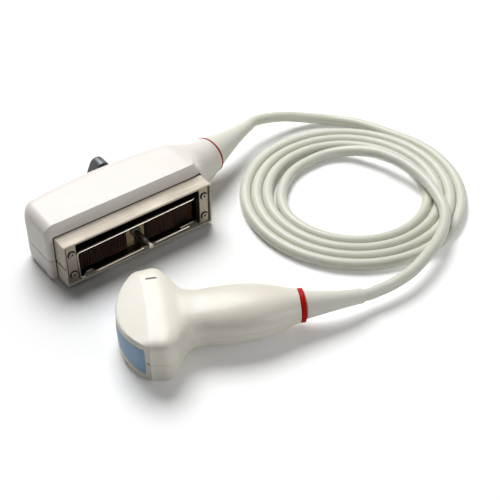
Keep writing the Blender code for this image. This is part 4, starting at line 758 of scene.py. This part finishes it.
def makeMark():
    # a bar with round ends in rings that grow to its outline and then go down; its top follows the head's crown
    angle = aroundAngles(mark["around"])
    wide = mark["width"] / 2
    reach, fall = np.array([mark["reach"], mark["fall"]])[:, :, None]
    straight = (mark["length"] / 2 - wide) * np.tanh(mark["endFullness"] * np.cos(angle))
    along = mark["place"][0] + reach * (wide * np.cos(angle) + straight)
    side = mark["place"][1] + reach * wide * np.sin(angle)
    width, thickness, square = hermite(handleStations[:, 0], handleStations[:, 1:], along.ravel()).T
    crown = (thickness * (1 - (np.abs(side.ravel()) / width) ** square) ** (1 / square)).reshape(along.shape)
    points = np.stack([along, side, crown + mark["proud"] - fall], axis=-1)
    rows, columns = points.shape[:2]
    faces = [f[::-1] for f in gridFaces(rows, columns)] + [list(range((rows - 1) * columns, rows * columns))[::-1]]
    piece = meshPiece("indexMark", onHandpiece(points), faces, markInlay)
    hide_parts("orientation_mark")


# The socket: its rim, the contacts, the shaft's sleeve painted black as shade, painted shade on the guide and at the
# screws, and the dark gaps round the metal

socket = {
    "halfLength": 0.0447, "low": 0.0040, "high": 0.0252, "front": -0.031, "floor": -0.0222, "corner": 0.0024,
    "wall": 0.0007, "tilt": math.radians(1.2), "endSetback": 0.0018, "endFrom": 0.0405, "endRun": 0.0030,
    "notches": ((-0.0410, -0.0332), (0.0375, 0.0430)), "notchDepth": 0.0030, "notchTop": 0.0050,
}
contacts = {
    "pitch": 0.00205, "slots": 17, "middle": 0.02505, "levels": 11, "low": 0.0069, "high": 0.0224,
    "size": (0.00062, 0.0007, 0.00085), "front": -0.0262,
}


def tilted(points):
    # turned a little about the shaft, as the contact insert floats in its frame
    c, s = math.cos(socket["tilt"]), math.sin(socket["tilt"])
    x, y, height = points[..., 0], points[..., 1], points[..., 2] - shaftHeight
    return np.stack([x * c - height * s, y, x * s + height * c + shaftHeight], axis=-1)


def roundedOutline(halfLength, low, high, radius, cornerSteps=10, sideSteps=90):
    # a rectangle with round corners in the XZ plane, seen from the front and running anticlockwise
    corners = []
    spots = ((1, high - radius, 0), (-1, high - radius, 90), (-1, low + radius, 180), (1, low + radius, 270))
    for side, z, start in spots:
        angle = np.radians(np.linspace(start, start + 90, cornerSteps))
        corners.append(np.stack([side * (halfLength - radius) + radius * np.cos(angle),
                                 z + radius * np.sin(angle)], axis=-1))
    parts = []
    run = np.linspace(0, 1, sideSteps)[1:-1, None]
    for corner, following in zip(corners, corners[1:] + corners[:1]):
        parts += [corner, corner[-1] * (1 - run) + following[0] * run]
    return np.vstack(parts)


def makeRim():
    # a wall with a half-round lip carried round a rounded rectangle; its front edge drops back in the two
    # notches along the bottom and at the right end
    r = socket
    line = roundedOutline(r["halfLength"] - r["wall"] / 2, r["low"] + r["wall"] / 2, r["high"] - r["wall"] / 2,
                          r["corner"] - r["wall"] / 2)
    ahead = np.roll(line, -1, axis=0) - np.roll(line, 1, axis=0)
    ahead /= np.linalg.norm(ahead, axis=1)[:, None]
    outward = np.stack([ahead[:, 1], -ahead[:, 0]], axis=-1)
    x, z = line.T
    front = r["front"] + r["endSetback"] * easeInOut((x - r["endFrom"]) / r["endRun"])
    bottom = z < r["notchTop"]
    for start, end in r["notches"]:
        front = np.where(bottom & (x > start) & (x < end), r["front"] + r["notchDepth"], front)
    half = r["wall"] / 2
    turn = np.linspace(-np.pi / 2, np.pi / 2, 9)
    across = np.hstack([half * np.sin(turn), [half, -half]])
    lip = front[:, None] + half * (1 - np.cos(turn))
    y = np.hstack([lip, np.full((len(line), 2), r["floor"])])
    points = np.stack([x[:, None] + outward[:, :1] * across, y, z[:, None] + outward[:, 1:] * across], axis=-1)
    rows, columns = points.shape[:2]
    rim = meshPiece("socketRim", tilted(points), gridFaces(rows, columns, closedRows=True), brightRimAndShade)
    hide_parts("plug_shell")


def boxGrid(centres, size, turns=0.0):
    # boxes at many places, turned about Y where asked: eight corners and six faces each
    centres = np.asarray(centres, float)
    ends = (-0.5, 0.5)
    corner = np.array([(a, b, c) for a in ends for b in ends for c in ends])
    sides = np.array([(0, 1, 3, 2), (4, 6, 7, 5), (0, 4, 5, 1), (2, 3, 7, 6), (0, 2, 6, 4), (1, 5, 7, 3)])
    local = corner[None, :, :] * np.asarray(size).reshape(-1, 1, 3)
    turns = np.reshape(turns, (-1, 1))
    c, s = np.cos(turns), np.sin(turns)
    local = np.stack([c * local[..., 0] - s * local[..., 2], local[..., 1] + 0 * c,
                      s * local[..., 0] + c * local[..., 2]], axis=-1)
    points = centres[:, None, :] + local
    faces = sides[None, :, :] + 8 * np.arange(len(centres))[:, None, None]
    return points.reshape(-1, 3), faces.reshape(-1, 4).tolist()


def makeBoxes(name, centres, size, material, turns=0.0, place=None):
    points, faces = boxGrid(centres, size, turns)
    meshPiece(name, place(points) if place else points, faces, material)


def makeContacts():
    # rows of small contact tips standing in the blocks' slots
    c = contacts
    offset = (np.arange(c["slots"]) - (c["slots"] - 1) / 2) * c["pitch"]
    x = np.hstack([-c["middle"] + offset, c["middle"] + offset])
    z = np.linspace(c["low"], c["high"], c["levels"])
    x, z = np.meshgrid(x, z, indexing="ij")
    centres = np.stack([x.ravel(), np.full(x.size, c["front"] + c["size"][1] / 2), z.ravel()], axis=-1)
    makeBoxes("contactTips", centres, c["size"], contactCopper)


details = {   # places and sizes are in X, Y and Z; a profile is a list of Y and radius
    "shadeSleeve": (
        (-0.0245, 0.00125), (-0.0245, 0.0034), (-0.0262, 0.0034), (-0.0268, 0.0029), (-0.0270, 0.0019),
        (-0.0378, 0.0018), (-0.0383, 0.0015), (-0.0383, 0.00125),
    ),
    "shadeSheetPlace": (0.0011, -0.02452, 0.0101), "shadeSheetSize": (0.0046, 0.0001, 0.0098),
    "shadeRing": ((-0.03088, 0.0019), (-0.03102, 0.0019), (-0.03102, 0.0027), (-0.03088, 0.0028)),
    "screwTurns": (20.0, 65.0, 38.0, 80.0), "recessShadeSize": (0.0025, 0.0001, 0.0005), "recessShadeDepth": 0.00002,
    "ribPlaces": ((0.0353, -0.0285, 0.0060), (-0.0375, -0.0285, 0.0067)),
    "ribSizes": ((0.0100, 0.0030, 0.0009), (0.0043, 0.0030, 0.0007)),
    "gapOutside": (0.05455, 0.0012, 0.0339, 0.0012, 5, 12), "gapInside": (0.05395, 0.0019, 0.0332, 0.0006, 5, 12),
    "gapFront": -0.02015, "gapBack": -0.0190,
    "partingPlace": (-0.05398, -0.0261, 0.016), "partingSize": (0.0003, 0.0119, 0.0009),
}


def makeTurned(name, profile, middle, height, material, body, sides=48):
    # a lathe shape about a line along Y
    points = turnedGrid(*np.transpose(profile), sides)[..., [1, 0, 2]] + np.array([middle, 0, height])
    faces = gridFaces(len(profile), sides, closedRows=True)
    meshPiece(name, points, faces, material, body=body, sharpAngle=35)


def makeShroudGap():
    # a flat frame between two outlines in the XZ plane, which darkens the joint of shroud and covers
    outside, inside = roundedOutline(*details["gapOutside"]), roundedOutline(*details["gapInside"])
    corners = ((outside, "gapBack"), (outside, "gapFront"), (inside, "gapFront"), (inside, "gapBack"))
    loop = np.stack([np.insert(outline, 1, details[depth], axis=1) for outline, depth in corners], axis=1)
    faces = gridFaces(len(outside), len(corners), closedRows=True)
    meshPiece("shroudGap", loop, faces, socketPlastic, sharpAngle=35)


def makeSocketDetails():
    d = details
    makeRim()
    makeContacts()
    # painted shade: a black sleeve round the shaft, wide at the guide, for the shade round the shaft and across the
    # guide's middle
    makeTurned("shaftShadeSleeve", d["shadeSleeve"], 0.0, shaftHeight, darkSteelAndShade, "lock")
    # painted shade: a flat black sheet on the front of the guide, below the shaft, for the shade across the guide's
    # middle
    makeBoxes("guideShadeSheet", [d["shadeSheetPlace"]], d["shadeSheetSize"], socketPlastic)
    # painted shade at the screws: a dark dished ring round each head for the shade in its countersink, and a flat
    # dark cross on it for the shade in its cross recess
    places, turns = [], []
    for number, turn in enumerate(d["screwTurns"], 1):
        low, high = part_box("end_plate_screw_%d" % number)
        middle, height = (low[0] + high[0]) / 2, (low[2] + high[2]) / 2
        places += [(middle, low[1] + d["recessShadeDepth"], height)] * 2
        turns += [turn, turn + 90]
        makeTurned("screwShadeRing_%d" % number, d["shadeRing"], middle, height, socketPlastic, "probe", 40)
    makeBoxes("screwRecessShade", places, d["recessShadeSize"], socketPlastic, np.radians(turns))
    makeBoxes("keyRibs", d["ribPlaces"], d["ribSizes"], brightRimAndShade, place=tilted)
    makeShroudGap()
    makeBoxes("shroudParting", [d["partingPlace"]], d["partingSize"], socketPlastic)


makeSocketDetails()


# The lock's lever, behind the housing

lever = {
    "hub": 0.0082, "tip": (0.0054, 0.0187), "tipRadius": 0.0050, "near": 0.0203, "foot": 0.0004,
    "hubDepth": 0.0078, "tipDepth": 0.0092, "flare": 0.008, "edge": 0.0014, "inward": (0.0035, 0.006, 0.0085),
    "core": 0.0002, "around": 144, "circles": 120, "edgeSteps": 8,
}


def makeLever():
    # The outline is the widest reach, in each direction from the shaft, of circles that shrink from the hub to
    # the tip. Copies of it stand on the foot, draw in round the edge, and then cross the outer face to the core.
    k = lever
    angle = aroundAngles(k["around"])
    share = np.linspace(0, 1, k["circles"])
    ray = np.stack([np.cos(angle), np.sin(angle)], axis=-1)
    tip = np.array(k["tip"])
    forward = (ray @ tip)[:, None] * share
    radius = k["hub"] * (1 - share) + k["tipRadius"] * share
    inner = radius**2 - (tip @ tip) * share**2 + forward**2
    reach = np.where(inner > 0, forward + np.sqrt(np.clip(inner, 0, None)), 0).max(axis=1)
    turn = quarterTurn(k["edgeSteps"])
    inset = np.hstack([[0, 0], k["edge"] * (1 - np.cos(turn)), k["inward"]])
    drawn = np.hstack([k["edge"] * (1 - np.sin(turn)), np.zeros(len(k["inward"]))])
    depth = k["hubDepth"] + (k["tipDepth"] - k["hubDepth"]) * easeInOut((reach - k["hub"]) / k["flare"])
    foot = np.broadcast_to((0, k["foot"]), (len(angle), 2))
    size = np.clip(reach[:, None] - inset, k["core"], None)
    y = k["near"] + np.hstack([foot, depth[:, None] - drawn])
    points = np.stack([size * ray[:, :1], y, shaftHeight + size * ray[:, 1:]], axis=-1)
    rows, columns = points.shape[:2]
    faces = [f[::-1] for f in gridFaces(rows, columns, closedRows=True, closedColumns=False)]
    starts = [i * columns for i in range(rows)]
    faces += [starts, [start + columns - 1 for start in starts][::-1]]
    piece = meshPiece("lockLever", points, faces, leverPaint, body="lock", sharpAngle=35)
    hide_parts("lock_knob")


makeLever()
print("socket and lock made")


# Finer copies of the solids: joined up, shaded smooth and with broken edges

copying = {"mergeWithin": 0.0000015, "flatWithin": 1.0, "sharpAngle": 35.0}


def refine(node, material, edge):
    # a merged copy of a solid, so that it shades as one surface, with a small bevel on its sharp edges
    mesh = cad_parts[node].data.copy()
    mesh.name = node + "_fine"
    shape = bmesh.new()
    shape.from_mesh(mesh)
    bmesh.ops.remove_doubles(shape, verts=shape.verts, dist=copying["mergeWithin"])
    bmesh.ops.dissolve_limit(shape, angle_limit=math.radians(copying["flatWithin"]), verts=shape.verts,
                             edges=shape.edges)
    shape.to_mesh(mesh)
    shape.free()
    mesh.materials.clear()
    mesh.materials.append(material)
    mesh.shade_smooth()
    mesh.set_sharp_from_angle(angle=math.radians(copying["sharpAngle"]))
    piece = bpy.data.objects.new(mesh.name, mesh)
    bpy.context.scene.collection.objects.link(piece)
    if edge:
        breakEdges(piece, edge, copying["sharpAngle"])
    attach(piece, "lock" if node.startswith("lock_") else "probe")
    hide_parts(node)


fineCopies = {
    "shroud_upper": (nickelPlate, 0.00015), "shroud_lower": (nickelPlate, 0.00015),
    "end_plate_left": (plateNickel, 0.00015), "end_plate_right": (plateNickel, 0.00015),
    **{"end_plate_screw_%d" % k: (screwNickel, 0.00008) for k in range(1, 5)},
    "centre_guide": (guideBrass, 0.00015), "lock_shaft": (screwNickel, 0.00012),
    "lock_cross_pin": (darkSteelAndShade, 0.00015), "socket_insulator": (socketPlastic, 0.0002),
    "contact_block_left": (socketPlastic, 0.0), "contact_block_right": (socketPlastic, 0.0),
}
plainFinishes = {
    "matching_layer": guideBrass, "crystal_array": firedCeramic, "backing_block": backingResin,
    "array_flex_upper": flexFilm, "array_flex_lower": flexFilm, "interconnect_board": boardResist,
    "handle_cable_clamp": turnedSteel, "connector_cable_clamp": turnedSteel, "termination_board_left": boardResist,
    "termination_board_right": boardResist, "shaft_clip": turnedSteel, "shaft_bush": guideBrass,
    **{"cover_screw_%d" % k: turnedSteel for k in range(1, 5)},
}
makeMark()
for node, (material, edge) in fineCopies.items():
    refine(node, material, edge)
for node, material in plainFinishes.items():
    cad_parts[node].data.materials.clear()
    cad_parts[node].data.materials.append(material)
print("solids finished")


# Table and light

studio = {
    "tableSeen": 0.99, "tableBounce": 0.76, "tableHalf": 6.0, "tableRoughness": 0.8, "tableGloss": 0.15,
    "glowNear": 0.0, "glowFar": 0.26, "glowMiddle": (0.0, 0.01, 0.0), "glowReach": (0.07, 0.22),
    "worldStrength": 0.05, "worldSeen": 1.0, "lampGloss": 0.2,
    "keyPlace": (0.25, 0.58, 1.00), "keyAim": (0.04, -0.05, 0.0), "keySize": 0.85, "keyEnergy": 16.8,
    "fillPlace": (0.45, -1.3, 0.35), "fillAim": (0.05, -0.05, 0.0), "fillSize": 0.7, "fillEnergy": 4.4,
}


def seenDirectly(nodes, links):
    # one for what the camera sees, itself or in a reflection, and nothing for the light that bounces
    rays = nodes.new("ShaderNodeLightPath")
    seen = nodes.new("ShaderNodeMath")
    seen.operation = "MAXIMUM"
    links.new(rays.outputs["Is Camera Ray"], seen.inputs[0])
    links.new(rays.outputs["Is Glossy Ray"], seen.inputs[1])
    return seen.outputs[0]


def makeTable():
    # white where it is seen, and a mid grey for the light that it throws back up
    vertices = studio["tableHalf"] * np.array([(-1, -1, 0), (1, -1, 0), (1, 1, 0), (-1, 1, 0)])
    material, nodes, links, shader = newMaterial("tableTop")
    seen = seenDirectly(nodes, links)
    tones = [(studio[name],) * 3 for name in ("tableBounce", "tableSeen")]
    links.new(blendColours(nodes, links, seen, *tones), shader.inputs["Base Color"])
    # a faint glow whitens the table away from the connector, and leaves the shadows near it as they fall
    places = nodes.new("ShaderNodeTexCoord")
    away = nodes.new("ShaderNodeVectorMath")
    away.operation = "DISTANCE"
    away.inputs[1].default_value = studio["glowMiddle"]
    links.new(places.outputs["Object"], away.inputs[0])
    glow = nodes.new("ShaderNodeMath")
    glow.operation = "MULTIPLY"
    rising = rangeOf(nodes, links, away.outputs["Value"], studio["glowNear"], studio["glowFar"], *studio["glowReach"])
    links.new(seen, glow.inputs[0])
    links.new(rising, glow.inputs[1])
    setInputs(shader, {
        "Roughness": studio["tableRoughness"], "Specular IOR Level": studio["tableGloss"],
        "Emission Color": (1, 1, 1, 1),
    })
    links.new(glow.outputs[0], shader.inputs["Emission Strength"])
    table = meshPiece("tableTop", vertices, [(0, 1, 2, 3)], material, body=None)


def addArea(name, place, target, size, energy):
    data = bpy.data.lights.new(name, "AREA")
    data.shape = "DISK"
    data.size = size
    data.energy = energy
    # reflections of the lamp are dimmed, because the white surroundings are reflected as well
    data.use_nodes = True
    nodes, links = data.node_tree.nodes, data.node_tree.links
    rays = nodes.new("ShaderNodeLightPath")
    share = rangeOf(nodes, links, rays.outputs["Is Glossy Ray"], 1.0, studio["lampGloss"], 0.0, 1.0)
    links.new(share, nodes["Emission"].inputs["Strength"])
    light = bpy.data.objects.new(name, data)
    light.location = place
    light.rotation_euler = (Vector(target) - Vector(place)).to_track_quat("-Z", "Y").to_euler()
    bpy.context.scene.collection.objects.link(light)


def makeWorld():
    # white where it is seen, and a weak light on everything else
    world = bpy.data.worlds.new("studioWorld")
    bpy.context.scene.world = world
    world.use_nodes = True
    nodes, links = world.node_tree.nodes, world.node_tree.links
    strength = rangeOf(nodes, links, seenDirectly(nodes, links), studio["worldStrength"], studio["worldSeen"], 0, 1)
    nodes["Background"].inputs["Color"].default_value = (1, 1, 1, 1)
    links.new(strength, nodes["Background"].inputs["Strength"])


makeTable()
for lamp in ("key", "fill"):
    addArea(lamp + "Light", *[studio[lamp + part] for part in ("Place", "Aim", "Size", "Energy")])
makeWorld()
bpy.context.scene.view_settings.view_transform = "Standard"
print("table and light made")
